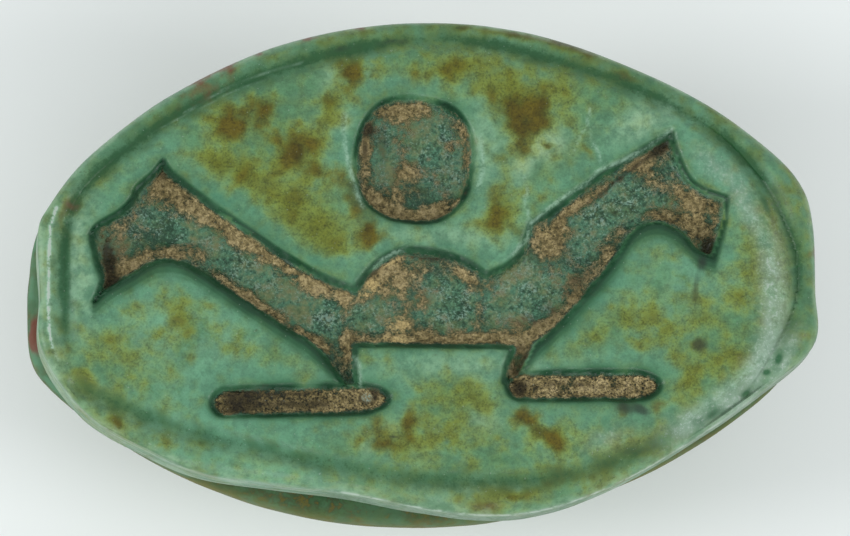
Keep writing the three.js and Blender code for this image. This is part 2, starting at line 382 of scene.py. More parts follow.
# What lies where on the face. Each mark has the distance that its edges wander and its patches, given by
# x, y, reach along, reach across, turn in degrees and strength, in millimetres from the face's middle.
facePatches = {
    "depositPlaces": (0.12, [
        (-5.15, 1.6, 0.5, 0.42, -30, 1.3), (-4.4, 1.15, 0.9, 0.34, -37, 1.4),
        (-3.2, 0.33, 0.9, 0.3, -37, 1.3), (-2.15, -0.3, 0.6, 0.24, -28, 1.2),
        (-5.9, 0.75, 0.3, 0.3, 0, 0.5), (-6.1, 0, 0.5, 0.2, 28, 1.2), (-5.1, 0.28, 0.7, 0.2, 0, 1),
        (-3.5, -0.75, 0.9, 0.2, -38, 1.1), (-2.3, -1.55, 0.6, 0.22, -42, 1.1),
        (-1.62, -0.6, 0.1, 0.5, 0, 0.7), (-1.6, -1.5, 0.16, 0.4, 0, 0.9), (-1.45, -2, 0.24, 0.6, 0, 1.2),
        (-0.95, -0.3, 0.38, 0.32, 20, 1.3), (-0.15, -0.05, 0.6, 0.22, 0, 1),
        (-0.2, -0.6, 0.45, 0.22, -30, 1), (-0.4, -1, 0.2, 0.5, 20, 0.7), (-0.65, -1.15, 0.3, 0.2, 0, 0.6),
        (-0.3, -1.45, 0.6, 0.25, 0, 1), (0.4, -1.6, 1.9, 0.16, 0, 1.4), (0.95, -0.3, 0.45, 0.2, -30, 1),
        (1, -0.9, 0.14, 0.5, 0, 0.8), (0.95, -1.4, 0.4, 0.2, 0, 0.7), (2.1, -1.35, 0.85, 0.24, 8, 1.4),
        (2.95, -0.8, 0.3, 0.5, -35, 0.8), (3.7, 0.25, 0.26, 0.5, -35, 0.9),
        (2.65, 0.55, 0.3, 0.55, -25, 1.5), (3, -0.1, 0.2, 0.6, -10, 0.5), (3.3, 1.4, 1.1, 0.1, 38, 0.9),
        (4.55, 2, 0.4, 0.42, 30, 1), (5.35, 1.4, 0.55, 0.16, -25, 1), (5, 0.98, 0.65, 0.13, -14, 1.3),
        (5.6, 0.85, 0.3, 0.35, 0, 1.3), (-0.5, 3.22, 0.75, 0.16, 4, 1.2), (0.75, 2.85, 0.25, 0.2, -50, 1.1),
        (0.86, 2.1, 0.12, 0.5, 0, 0.8), (-1.2, 2.2, 0.16, 0.9, 0, 0.9), (-0.95, 1.35, 0.3, 0.35, -45, 1.3),
        (-0.3, 1.02, 0.7, 0.22, 0, 1.3), (0.4, 1.2, 0.35, 0.25, 30, 1.2), (-0.35, 1.95, 0.22, 0.25, 0, 1),
        (-0.45, 1.5, 0.4, 0.25, 0, 0.9), (0.5, 2.5, 0.09, 0.16, 10, 1.2), (0.18, 2.3, 0.16, 0.14, 0, 0.8),
        (-0.4, 2.6, 0.2, 0.3, 0, 0.4), (3.2, 0.2, 0.7, 1, -35, 0.3),
    ]),
    "bare": (0.12, [  # where the floor shows through
        (-4.9, 0.72, 0.8, 0.26, -20, 0.9), (-3.5, -0.15, 1, 0.26, -38, 1.2),
        (-2.4, -0.9, 0.7, 0.34, -35, 1.1), (-1.15, -1, 0.35, 0.3, 0, 0.9), (0.5, -0.75, 0.45, 0.4, 0, 0.9),
        (1.9, -0.5, 0.6, 0.45, 0, 1.2), (3.3, 0.6, 0.3, 0.8, -38, 0.9), (4, 1.3, 0.7, 0.3, 30, 0.9),
        (2.6, -0.7, 0.3, 0.35, 0, 0.5), (1.87, 0.02, 0.35, 0.25, 0, 1.2), (0.05, 2.65, 0.3, 0.5, 0, 1),
        (-0.75, 2.3, 0.25, 0.6, 0, 0.5), (0.55, 1.9, 0.3, 0.5, 0, 0.6),
    ]),
    "cream": (0.06, [
        (-0.62, -1.15, 0.28, 0.22, 0, 1.1), (-0.7, -1.52, 0.4, 0.1, 0, 1),
        (-1.2, -0.42, 0.26, 0.16, 25, 1.3), (-1.5, -2.15, 0.13, 0.2, 0, 1),
        (-0.8, 0.05, 0.4, 0.07, 30, 0.8), (5.5, 0.95, 0.25, 0.25, 0, 0.5), (2.5, 0.7, 0.3, 0.4, -30, 0.4),
        (-4.2, 1.15, 0.9, 0.2, -37, 0.5), (-1.15, -2.6, 0.16, 0.15, 0, 0.8),
    ]),
    "dim": (0.06, [  # where the deposit itself is darker
        (-0.15, 2.05, 1.2, 1.3, 0, 0.4), (-3.3, -2.72, 1.4, 0.5, 2, 1.3), (5, 1.3, 0.9, 0.5, -20, 0.5),
        (-5.8, 0.9, 0.7, 0.5, 0, 0.6), (3, 0.2, 0.5, 0.9, -35, 0.5), (0.2, -1.68, 2, 0.12, 0, 0.6),
    ]),
    "darkFloor": (0.06, [  # darker patches inside the carving
        (-6.4, 0.1, 0.13, 0.5, 5, 1.7), (-6.25, -0.4, 0.25, 0.14, 0, 1.1),
        (5.72, 0.4, 0.14, 0.24, -10, 1.7), (4.87, 2.45, 0.24, 0.1, 40, 1.3), (4, 1.86, 1, 0.06, 37, 1),
        (-1.14, 2.82, 0.1, 0.12, 0, 1.6), (-0.85, 2.55, 0.22, 0.5, 0, 0.6), (-1.22, 2.4, 0.04, 0.35, 0, 1),
        (0.15, 0.2, 0.75, 0.07, -6, 1), (-1.1, -0.12, 0.3, 0.1, 40, 0.8), (-3.8, -2.8, 0.35, 0.4, 0, 1),
        (-2.6, -2.85, 0.9, 0.1, 2, 0.8), (-3, -2.62, 0.9, 0.06, 2, 0.8), (1.85, -2.53, 0.15, 0.15, 0, 1.5),
        (2.8, -2.45, 0.7, 0.06, 0, 0.8), (0.45, -1.65, 1.9, 0.05, 0, 0.8), (2.4, -1, 0.5, 0.25, 30, 0.5),
        (3.1, -0.3, 0.25, 0.5, -30, 0.6), (-5.3, 1.9, 0.16, 0.1, 40, 0.7), (0.3, 0.95, 0.12, 0.14, 0, 0.8),
        (-6.05, 1.3, 0.3, 0.14, 40, 0.8), (-1.05, -2.62, 0.08, 0.12, 0, 1), (1.9, -2, 0.08, 0.4, -30, 0.8),
    ]),
    "stain": (0.12, [
        (-3.95, 2.85, 0.42, 0.36, 20, 1.2), (-3.3, 3, 0.36, 0.4, 0, 0.7), (-2.6, 2.4, 0.36, 0.42, 10, 1.4),
        (-3.3, 3.35, 0.3, 0.3, 0, 0.7), (-3.1, 2.2, 0.7, 0.5, 0, 0.3), (-2.15, 1.9, 0.3, 0.35, 0, 0.6),
        (-3.65, 1.75, 0.28, 0.22, 0, 0.8), (-2.9, 1.25, 0.35, 0.25, -30, 0.7),
        (-1.6, 1.55, 0.35, 0.5, -35, 1), (-1.3, 1, 0.25, 0.45, 10, 1.1), (-1.1, 0.65, 0.16, 0.4, -15, 1.1),
        (-1.5, 3.8, 0.3, 0.4, 10, 1), (-1.95, 3.4, 0.13, 0.3, 0, 0.9), (-1.7, 4.15, 0.3, 0.25, 0, 0.6),
        (1.6, 3.35, 0.45, 0.45, 0, 0.7), (2, 3, 0.42, 0.45, 0, 1.1), (2.45, 3.2, 0.26, 0.4, 0, 1.1),
        (1.95, 2.5, 0.2, 0.4, 0, 0.8), (1.45, 0.85, 0.28, 0.24, 20, 0.8), (1.4, 1.2, 0.14, 0.25, 0, 0.5),
        (-0.45, -3.3, 0.2, 0.4, -20, 1), (-1.1, -3.45, 0.2, 0.4, 20, 0.8),
        (-0.75, -3.75, 0.4, 0.16, 0, 0.8), (-1.45, -3.5, 0.14, 0.3, 0, 0.6), (-1.4, -3, 0.2, 0.12, 0, 0.9),
        (-0.25, -2.85, 0.3, 0.13, 0, 0.5), (1.85, -3.1, 0.2, 0.25, -30, 1),
        (2.2, -3.4, 0.35, 0.22, -35, 1.1), (2.6, -3.75, 0.25, 0.2, -50, 1.1),
        (1.75, -4.75, 0.3, 0.12, 12, 0.9), (2.5, -4.35, 0.35, 0.2, 30, 0.8), (1.1, -4.95, 0.4, 0.1, 0, 0.7),
        (3.3, -4.2, 0.5, 0.14, 25, 0.8), (4, -3.85, 0.35, 0.2, 30, 1), (4.4, -3.75, 0.3, 0.1, 35, 0.6),
        (2, 4.75, 0.7, 0.12, -10, 1), (3, 4.5, 0.5, 0.12, -20, 1.2), (0.9, 4.92, 0.2, 0.1, 0, 1),
        (4.1, 3.95, 0.25, 0.1, -35, 1), (-6.3, -3.2, 0.2, 0.12, -20, 0.9), (3.3, 2.35, 0.1, 0.25, 25, 0.9),
        (2.5, 2.5, 0.1, 0.09, 0, 1.2), (2.3, 1.35, 0.3, 0.2, 20, 0.7), (7.05, 0.85, 0.16, 0.4, 15, 0.8),
        (7.15, -0.3, 0.1, 0.5, 0, 0.5), (-7.15, 1.2, 0.16, 0.28, -30, 1.3), (-7.32, 0.6, 0.1, 0.5, 0, 0.8),
        (-7.33, -1.65, 0.12, 0.14, 0, 0.8), (5.15, 2.45, 0.1, 0.1, 0, 0.7), (-0.1, 4, 0.7, 0.2, 0, 0.45),
        (0.55, 4.1, 0.3, 0.2, 0, 0.6),
    ]),
    "olive": (0.2, [
        (-4.3, 2.05, 0.5, 0.35, 0, 0.9), (-3.7, 1.75, 0.6, 0.3, -30, 0.7), (-2.4, 1, 0.7, 0.45, -30, 1),
        (-2, 0.5, 0.6, 0.3, -25, 0.9), (1.4, 3.7, 0.8, 0.4, 0, 0.9), (0.4, 4, 0.8, 0.3, 0, 0.6),
        (1.6, 1, 0.5, 0.4, 20, 0.7), (3.6, 3.2, 0.4, 0.2, 0, 0.3), (-6, -2, 0.6, 0.35, -20, 0.7),
        (-5.4, -1.6, 0.6, 0.3, 20, 0.4), (-4.94, -0.9, 0.4, 0.26, 0, 0.8),
        (-3.1, -1.9, 0.6, 0.25, -20, 0.4), (-7, -2.35, 0.25, 0.16, -30, 0.9),
        (-6.5, -3.5, 0.3, 0.15, 0, 0.5), (-5.7, -3.85, 0.3, 0.15, 0, 0.9), (-1.2, -2, 0.3, 0.1, 0, 0.6),
        (5.5, -0.75, 0.3, 0.35, 0, 0.5), (6.3, 0.3, 0.3, 0.5, 0, 0.5), (-1.77, 3.15, 0.25, 0.3, 0, 1),
        (0.8, -2.7, 0.7, 0.35, 0, 0.8), (0.4, -3.3, 0.8, 0.4, 0, 0.6), (4.2, -1, 0.7, 0.3, 10, 1),
        (3.2, -1.5, 0.6, 0.3, 30, 0.7), (4.9, -1.5, 0.5, 0.35, 0, 0.45), (5.9, -1, 0.5, 0.35, 20, 0.6),
        (6.2, -1.7, 0.5, 0.4, 0, 0.5), (6.8, 0.2, 0.4, 0.7, 0, 0.5), (5.2, -2.5, 0.3, 0.6, 0, 0.8),
        (4.7, -3.4, 0.4, 0.2, 0, 0.7), (-5.5, 3.1, 0.4, 0.2, 0, 0.4), (-6.6, 1.7, 0.3, 0.2, 0, 0.4),
        (1.5, -4.7, 0.8, 0.2, 8, 0.8),
    ]),
    "pale": (0.12, [
        # the first patch, at the left end, is a painted highlight on the rolled rim
        (-7.7, 0.2, 0.16, 1.7, 0, 0.6), (-7.55, -1.9, 0.2, 0.5, 20, 1), (1.4, -4.6, 0.6, 0.14, 8, 0.8),
        (0.2, -4.5, 1, 0.14, 5, 0.5), (-2.3, -4.15, 1.4, 0.14, -12, 0.3), (2.4, 2.5, 0.5, 0.42, 0, 1.4),
        (1.9, 2.05, 0.2, 0.35, 0, 1.1), (-1.65, 2.95, 0.22, 0.16, 0, 0.8), (4.5, 2.95, 0.7, 0.35, 30, 1.1),
        (-0.75, -3.4, 0.16, 0.14, 0, 0.7), (-1.25, -3.75, 0.18, 0.16, 0, 0.7), (1.2, 2.4, 0.4, 1, 0, 0.6),
        (-6.6, -2.9, 1, 0.3, -30, 0.4), (0.5, -4.75, 1, 0.2, 6, 0.4), (-1.95, 3.9, 0.2, 0.4, 0, 0.5),
        (0.4, 0.6, 1.6, 0.3, 0, 0.6), (-7, 0.3, 0.35, 1.6, 0, 0.9), (1, -2.1, 2, 0.3, 0, 0.6),
        (6.7, -3, 0.9, 0.25, 35, 0.5), (1.05, -3.2, 0.35, 0.3, 0, 0.7),
    ]),
    "bluish": (0.2, [
        (-6.9, 0.2, 0.5, 1.8, 0, 1), (0.3, 0.55, 1.6, 0.3, 0, 1), (1.15, 2.2, 0.35, 1.2, 0, 0.9),
        (1, -2.05, 2, 0.3, 0, 1), (-3.9, 1.2, 1.5, 0.3, -38, 0.9), (-4.6, -2.6, 1.3, 0.7, -25, 0.8),
        (-3.3, -3.4, 1, 0.5, -15, 0.7), (6.3, 1.7, 0.6, 0.5, -40, 0.8), (-1.7, 2.2, 0.22, 0.7, 0, 0.8),
        (5.5, 3.2, 0.5, 0.2, -40, 0.8), (5.9, 2.35, 0.4, 0.35, -40, 1.2),
        (-3.4, -4.35, 1.6, 0.25, -18, 0.9), (-0.5, -4.72, 1.6, 0.2, -8, 0.8),
        (-5.2, 3.55, 1.3, 0.2, 38, 0.9), (-6.75, 2.2, 0.9, 0.2, 52, 0.9), (-3.2, 4.6, 1.3, 0.15, 22, 0.8),
        (3.9, 4.2, 1.1, 0.15, -26, 0.8), (5.8, 3.2, 0.8, 0.16, -40, 0.9), (7.1, 1.9, 0.6, 0.14, -62, 0.7),
        (0.2, 3.75, 1, 0.2, 0, 0.5), (2.2, -1.9, 1, 0.35, -40, 0.9), (3.5, -0.2, 0.7, 0.4, -45, 0.5),
        (3.3, 2.9, 0.6, 0.4, 0, 0.5), (-5.6, -0.6, 1.4, 0.3, 0, 0.6), (-2.4, -3.9, 1.6, 0.25, -12, 0.8),
        (4.3, 2.95, 1, 0.4, 25, 1.2),
    ]),
    "broadTeal": (0.1, [  # where thick glaze and painted shade darken a wide band beside the figures
        (-3.7, 1.1, 1.5, 0.5, -38, 1), (3.3, -0.85, 1.3, 0.5, 47, 1.1), (4.9, 0.5, 0.5, 0.35, 0, 0.7),
        (-2, 0.2, 0.5, 0.4, -30, 0.8), (1.9, 0.3, 0.35, 0.5, 0, 0.6),
    ]),
    "deep": (0.04, [  # glaze left in the worn border, and dark green runs
        (7.11, -1.91, 0.09, 0.14, -20, 1.3), (6.87, -2.18, 0.1, 0.07, 0, 1.3),
        (6.46, -2.6, 0.16, 0.09, 40, 1.2), (5.75, -3.03, 0.2, 0.1, 35, 1), (1.65, -4, 0.8, 0.16, 0, 0.5),
        (-5.6, -3.1, 0.9, 0.2, -25, 0.7), (-3.2, -3.75, 0.9, 0.2, -14, 0.6), (-7.33, -0.3, 0.13, 1, 0, 1.3),
        (6.9, 1.2, 0.1, 0.5, 20, 0.6), (1.7, -0.55, 0.3, 0.2, 0, 0.6),
    ]),
    "smudge": (0.03, [
        (5.6, 0.05, 0.12, 0.25, -10, 0.9), (5.45, -0.4, 0.09, 0.35, -8, 0.9),
        (5.5, -1.65, 0.25, 0.2, 0, 1.1), (4, -2.95, 0.45, 0.14, -15, 0.9),
        (-0.75, -3.55, 0.1, 0.05, 0, 1.2), (-1.6, 4.45, 0.5, 0.1, 10, 0.7), (-0.6, 4.62, 0.5, 0.08, 0, 0.6),
        (4.3, -3, 0.1, 0.2, 40, 0.8), (5.5, -0.8, 0.16, 0.3, 0, 0.55), (2.95, -4.3, 0.03, 0.03, 0, 1.3),
        (0.25, -4.15, 0.03, 0.03, 0, 1),
    ]),
    # frosted glaze on the right, with a painted sparkle and sheen laid over it
    "frostAndGlint": (0.08, [
        (7, -0.5, 0.24, 1.2, 0, 1.1), (6.75, -2, 0.25, 0.6, -20, 1.1), (6.2, -2.8, 0.45, 0.3, 45, 1.1),
        (5.3, -3.2, 0.6, 0.25, 30, 0.9), (6.5, 1.2, 0.2, 0.7, 20, 0.6), (5.9, 2, 0.5, 0.2, -45, 0.5),
        (5.5, -3.7, 0.9, 0.1, 33, 1), (7.2, -2, 0.12, 0.6, -25, 0.9), (3.6, -3.6, 0.5, 0.2, 20, 0.4),
    ]),
}
# thin painted highlight lines along the shoulders and the left rim: strength, reach, and the line, in
# millimetres
highlightLines = [
    (0.9, 0.032, [(1.7, 0.18), (2.05, 0.54), (2.12, 0.86), (2.44, 1.12), (2.92, 1.48), (3.3, 1.71),
        (3.49, 1.93), (3.88, 2.1), (4.26, 2.29), (4.64, 2.52), (5.03, 2.81)]),
    (0.8, 0.04, [(-0.46, 0.35), (-0.82, 0.19), (-1.06, -0.04)]),
    (0.9, 0.045, [(-1.64, 3.09), (-1.67, 2.78), (-1.6, 2.17), (-1.43, 1.55), (-1.29, 1.19)]),
    (0.7, 0.045, [(1.1, 2.6), (1.16, 2.23), (1.14, 1.92), (1.02, 1.49)]),
    (0.6, 0.03, [(2.12, 0.86), (2.02, 1.19), (2, 1.4)]),
    (0.7, 0.03, [(-1.5, -1.87), (-1.37, -2.14), (-1.41, -2.47)]),
    (0.7, 0.025, [(3.6, 1.95), (3.52, 2.3), (3.35, 2.62), (3.3, 2.95), (3.38, 3.25)]),
    (0.6, 0.022, [(2.12, 0.86), (2.02, 1.19), (2.06, 1.55), (1.98, 1.8)]),
    (0.5, 0.02, [(3, 2.3), (3.2, 2.75), (3.5, 2.86)]),
    (2.5, 0.032, [(-7.5, 1.15), (-7.61, 0.8), (-7.65, 0.3), (-7.67, -0.6), (-7.66, -1.3), (-7.6, -1.7)]),
    (0.45, 0.07, [(6.55, 1.15), (6.81, 0.61), (7.11, -0.16), (7.22, -0.86), (7.03, -1.48), (6.73, -1.95),
        (6.04, -2.57)]),
    (0.35, 0.14, [(7.11, -0.16), (7.22, -0.86), (7.03, -1.48), (6.73, -1.95), (6.04, -2.57), (5.2, -3.2)]),
    (0.6, 0.04, [(-7.6, -1.7), (-7.48, -2)]),
    (0.3, 0.016, [(-4.9, 3.14), (-4.1, 3.6), (-3.4, 3.9), (-2.5, 4.17)]),
    (0.35, 0.016, [(-4.6, 3.2), (-3.9, 3.58), (-3.1, 3.88)]),
    (0.3, 0.016, [(-5.5, 2.75), (-4.9, 3.08), (-4.3, 3.5)]),
]
# x, y, height, reach and strength, in millimetres, because these lie on the side as well
redFlecks = [
    (-4.55, 3.72, 5.9, 0.55, 0.7), (-4, 4.05, 5.8, 0.35, 0.8), (-3.35, 4.33, 5.9, 0.14, 1.3),
    (-2.3, 4.7, 5.9, 0.2, 1.1), (-1.3, 4.98, 5.95, 0.15, 1.2), (-7.8, -1.05, 4.1, 0.4, 1.8),
    (-7.2, 1.2, 6.1, 0.16, 0.45), (7.9, 0.2, 5.7, 0.4, 0.8), (7.95, -1.2, 5.6, 0.35, 0.6),
]


# sum of soft round patches: each falls from its strength as exp of minus the squared distance in its reaches
def patchField(points, name):
    wander, patches = facePatches[name]
    flat = onPlane(points)
    px = flat[:, 0] + wander * layeredNoise(flat, 0.5, 71)
    py = flat[:, 1] + wander * layeredNoise(flat, 0.5, 83)
    total = np.zeros(len(points))
    for x, y, along, across, turn, strength in patches:
        c, s = np.cos(np.radians(turn)), np.sin(np.radians(turn))
        dx, dy = px - x, py - y
        total += strength * fallOff(dx * c + dy * s, along) * fallOff(dy * c - dx * s, across)
    return total


# Where glaze ran down from the animal: the fall-off from its edge, and from the edge moved down step by step,
# each step weaker, and weaker still under its belly.
def driftField(points, beast):
    reach = carving["driftReach"]
    drift = fallOff(np.clip(beast, 0, None), reach)
    near = np.abs(beast) < 0.7
    underNeck = 0.15 + 0.85 * softStep(1.3, 2.2, np.abs(points[near, 0]))
    for fall, strength in carving["driftRuns"]:
        carried = np.clip(signedDistance(points[near] + np.array([0, fall]), beastEdge), 0, None)
        drift[near] = np.maximum(drift[near], underNeck * strength * fallOff(carried, reach))
    return drift * (beast > 0)


# all that the relief and the colours need to know at points of the face: distances to the figures, which are
# negative inside, to the border and to the rim, and which figure or side of the border a point belongs to
def readFace(points):
    far = np.stack([signedDistance(points, edge) for edge in (beastEdge, discEdge, *footEdges)])
    border, borderOff = nearestOn(points, borderPath, False)
    return {
        "beast": far[0], "disc": far[1], "foot": np.minimum(far[2], far[3]), "cut": far.min(0),
        "isDisc": far.argmin(0) == 1, "border": border,
        "borderInner": ((points * borderOff).sum(1) < 0).astype(float),
        "rim": -signedDistance(points, rimEdge), "drift": driftField(points, far[0]),
    }


# how likely the brown deposit is: strong along the foot of the walls, and where patches place it
def depositField(points, read):
    inner = -read["cut"]
    wallFoot = fallOff(inner - np.where(read["isDisc"], 0.13, 0.2), 0.14)
    field = 0.35 * wallFoot + patchField(points, "depositPlaces") - 0.9 * patchField(points, "bare")
    field = field + 0.45 * layeredNoise(onPlane(points), 0.35, 5)
    field = np.where(read["foot"] < 0, 1.4, field)
    return np.clip(field, -0.5, 1.5) * softStep(np.where(read["isDisc"], 0.0, 0.05), 0.13, inner)


# Height of the carved face. Away from the carving it is flat, and at the edge it rolls over as part of a
# circle. A figure's floor lies at its depth, and its wall is a smooth step across the outline. The border is
# a soft groove: its depth falls as the square of one minus the squared share of its half width.
def faceHeight(points, read):
    roll = rollAt(points)
    inRoll = np.clip(roll - read["rim"], 0, roll)
    height = sealHeight - (roll - np.sqrt(roll**2 - inRoll**2))
    flat = onPlane(points)

    unsteady = carving["wallUnrest"] * layeredNoise(flat, 0.4, 21)
    wall = 1 - softStep(-carving["wallInside"], carving["wallOutside"], read["cut"] + unsteady)
    depth = np.where(read["disc"] < read["beast"], carving["discDepth"], carving["beastDepth"])
    depth = np.where(read["foot"] <= np.minimum(read["beast"], read["disc"]), carving["footDepth"], depth)
    bowl = 1 - carving["bowl"] * (1 - softStep(0.1, 0.5, -read["cut"]))
    height = height - depth * wall * bowl - carving["driftFall"] * read["drift"]

    deposit = softStep(0.15, 0.8, depositField(points, read))
    grain = (layeredNoise(flat, 0.16, 31, 2) + layeredNoise(flat, 0.5, 33, 2)) / 2
    height = height + deposit * (carving["depositHeight"] + carving["depositGrain"] * grain)
    footFill = carving["footFill"] * softStep(0.05, 0.3, -read["foot"])
    height = height + footFill * (1 + layeredNoise(flat, 0.22, 37))

    groove = np.clip(1 - (read["border"] / carving["borderHalf"])**2, 0, 1)**2
    height = height - carving["borderDepth"] * groove * (0.8 + 0.3 * layeredNoise(flat, 0.9, 41, 2))
    shoulder = softStep(0.75, 0.1, read["border"]) * read["borderInner"]
    shoulder = shoulder * (0.4 + 0.6 * softStep(3.0, 6.5, points[:, 0]))
    outerFall = softStep(0.9, 0.2, read["rim"]) * atNear(points) * (1 - read["borderInner"])
    height = height - carving["shoulderFall"] * shoulder - carving["nearFall"] * outerFall

    wave, grain = layeredNoise(flat, 1.6, 51), layeredNoise(flat, 0.25, 53, 2)
    ground = carving["groundWave"] * wave + carving["groundGrain"] * grain
    return height + ground * softStep(0.0, 0.5, read["rim"])


# the surface

# The face's grid fills its edge as a Coons patch: opposite edges are mixed, and what the corners count twice
# is taken off.
def faceGrid():
    columns, rows = fineness["columns"], fineness["rows"]
    edge = movedIn(evenSteps(plateEdge, fineness["outlinePoints"], True), body["patchStep"])
    at = [int(np.linalg.norm(edge - inPlan(corner), axis=1).argmin()) for corner in plateCorners]
    sides = []
    for k, count in enumerate((columns, rows, columns, rows)):
        span = (at[(k + 1) % 4] - at[k]) % len(edge)
        sides.append(evenSteps(edge[(at[k] + np.arange(span + 1)) % len(edge)], count + 1, False))
    bottom, right, top, left = sides[0], sides[1], sides[2][::-1], sides[3][::-1]
    u = np.linspace(0, 1, columns + 1)[:, None, None]
    v = np.linspace(0, 1, rows + 1)[None, :, None]
    twice = (1 - u) * (1 - v) * bottom[0] + u * (1 - v) * bottom[-1] + (1 - u) * v * top[0] + u * v * top[-1]
    return (1 - v) * bottom[:, None] + v * top[:, None] + (1 - u) * left[None] + u * right[None] - twice


# two triangles on each quad between two closed rings of one count, the first above the second
def bandFaces(upper, lower):
    u2, l2 = np.roll(upper, -1), np.roll(lower, -1)
    return np.concatenate([np.stack([upper, lower, l2], axis=1), np.stack([upper, l2, u2], axis=1)])


# triangles from a ring to one of half as many points: each lower step faces two upper steps
def halvingFaces(upper, lower):
    a, b, c = upper[0::2], upper[1::2], np.roll(upper[0::2], -1)
    l2 = np.roll(lower, -1)
    return np.concatenate([np.stack([a, lower, b], axis=1), np.stack([b, lower, l2], axis=1),
                           np.stack([b, l2, c], axis=1)])


# equal steps from nothing to an end, without the start
def stepsTo(end, count):
    return np.linspace(0, end, count + 1)[1:]


# the rings of the side: the last of the edge's roll, the upright side, the quarter circle under it,
# the waist, which goes in by a half sine while the plan changes to the back's, and the lip's quarter circle
def sideRings(edgeRing):
    step = body["patchStep"]
    plan = movedIn(edgeRing, -step)
    roll = rollAt(plan)
    back = backPlan(plan) + backShift
    rings = []
    firstTurn = np.arcsin(1 - step / roll)
    fall = carving["nearFall"] * atNear(plan)
    for share in stepsTo(1, fineness["rollRings"]):
        turn = firstTurn + share * (np.pi / 2 - firstTurn)
        rings.append((movedIn(plan, (roll * (1 - np.sin(turn)))[:, None]),
                      sealHeight - roll * (1 - np.cos(turn)) - fall * (1 - share)))
    roundR = body["underRound"]
    for share in stepsTo(1, fineness["uprightRings"]):
        rings.append((plan, (sealHeight - roll) * (1 - share) + (plateUnder + roundR) * share))
    for turn in stepsTo(np.pi / 2, fineness["roundRings"]):
        rings.append((movedIn(plan, roundR * (1 - np.cos(turn))), plateUnder + roundR * (1 - np.sin(turn))))
    depth = body["waistDepth"] * (1 + (body["leftWaist"] - 1) * atLeft(plan))
    for share in stepsTo(1, fineness["waistRings"]):
        inset = (roundR + depth * np.sin(share * np.pi))[:, None]
        rings.append((movedIn(plan * (1 - share) + back * share, inset, 30),
                      plateUnder - body["waistHeight"] * share))
    for turn in stepsTo(np.pi / 2, fineness["roundRings"]):
        rings.append((movedIn(back, roundR * (1 - np.sin(turn))),
                      lipTop - body["lipRound"] * (1 - np.cos(turn))))
    return rings


# below the lip the plan shrinks to the rest, and the height at a share of the plan falls off as a
# superellipse, by the square root of one minus a power of the share
def domeRings(edgeRing):
    centred = backPlan(movedIn(edgeRing, -body["patchStep"]))
    restShare = body["restLength"] / (2 * (halfSize[0] - body["endStep"]))
    restBulge = np.sqrt(1 - restShare**body["restFade"])
    rings = []
    for share in np.cos(stepsTo(np.arccos(restShare), fineness["domeRings"])):
        bulge = np.sqrt(1 - share**body["restFade"])
        rings.append((centred * share + backShift, lipLow * (1 - bulge / restBulge)))
    return rings


# the hand's unevenness, a noise outwards from the back's middle, fading to nothing where the seal rests
def handMade(points, fade):
    out = points[:, :2] - backShift
    out = out / (np.linalg.norm(out, axis=1)[:, None] + 1e-9)
    amount = body["handWobble"] * (layeredNoise(points, body["wobbleSize"], 61) - 0.6)
    amount = amount * softStep(0.0, 1.0, points[:, 2]) * fade
    moved = points.copy()
    moved[:, :2] += out * amount[:, None]
    return moved


# Points and triangles of the closed surface: the face's grid, the rings below it and a fan over the rest.
# Each square of the grid is split on its flatter diagonal, and the first ring of the side and of the dome
# has half the points of the one above.
def buildSeal():
    grid = faceGrid()
    flat = grid.reshape(-1, 2)
    read = readFace(flat)
    height = faceHeight(flat, read)
    index = np.arange(len(flat)).reshape(grid.shape[:2])
    corners = (index[:-1, :-1], index[1:, :-1], index[1:, 1:], index[:-1, 1:])
    a, b, c, d = (corner.ravel() for corner in corners)
    turned = np.abs(height[b] - height[d]) < np.abs(height[a] - height[c])
    faces = [np.stack([a, b, np.where(turned, d, c)], axis=1),
             np.stack([np.where(turned, b, a), c, d], axis=1)]
    ring = np.concatenate([index[:-1, 0], index[-1, :-1], index[:0:-1, -1], index[0, :0:-1]])

    pieces, count = [np.column_stack([flat, height])], len(flat)
    side, dome = sideRings(flat[ring]), domeRings(flat[ring])
    upper, kept = ring, np.arange(len(ring))
    for number, (plan, height) in enumerate(side + dome):
        halve = number in (0, len(side))
        kept = kept[::2] if halve else kept
        points = np.column_stack([plan[kept], np.broadcast_to(height, len(plan))[kept]])
        pieces.append(handMade(points, min(1.0, (number + 1) / fineness["rollRings"])))
        lower = count + np.arange(len(kept))
        faces.append(halvingFaces(upper, lower) if halve else bandFaces(upper, lower))
        count += len(kept)
        upper = lower
    pieces.append(np.array([[*backShift, 0.0]]))
    faces.append(np.stack([upper, np.full(len(upper), count), np.roll(upper, -1)], axis=1))
    return np.vstack(pieces), np.vstack(faces), read


# an object from points in millimetres, smooth shaded
def makeMesh(name, points, faces):
    mesh = bpy.data.meshes.new(name)
    mesh.from_pydata((points * mm).tolist(), [], faces.tolist())
    mesh.validate()
    mesh.polygons.foreach_set("use_smooth", np.ones(len(mesh.polygons), bool))
    piece = bpy.data.objects.new(name, mesh)
    bpy.context.scene.collection.objects.link(piece)
    return piece


# a round rod along the length, past both ends of the seal: rings of a circle, closed by a fan at each end
def stringRod():
    sides = fineness["holeSides"]
    turn = np.linspace(0, 2 * np.pi, sides, endpoint=False)
    radius, middle = body["stringHole"] / 2, body["stringHoleHeight"]
    reach = halfSize[0] + 0.5
    circle = np.column_stack([np.zeros(sides), np.cos(turn) * radius, np.sin(turn) * radius + middle])
    rings = [circle + np.array([x, 0, 0]) for x in (-reach, 0, reach)]
    points = np.vstack(rings + [[[-reach, 0, middle], [reach, 0, middle]]])
    first, second, last = (sides * k + np.arange(sides) for k in range(3))
    faces = np.vstack([
        bandFaces(first, second), bandFaces(second, last),
        np.stack([np.full(sides, len(points) - 2), np.roll(first, -1), first], axis=1),
        np.stack([np.full(sides, len(points) - 1), last, np.roll(last, -1)], axis=1),
    ])
    return makeMesh("stringRod", points, faces[:, ::-1])


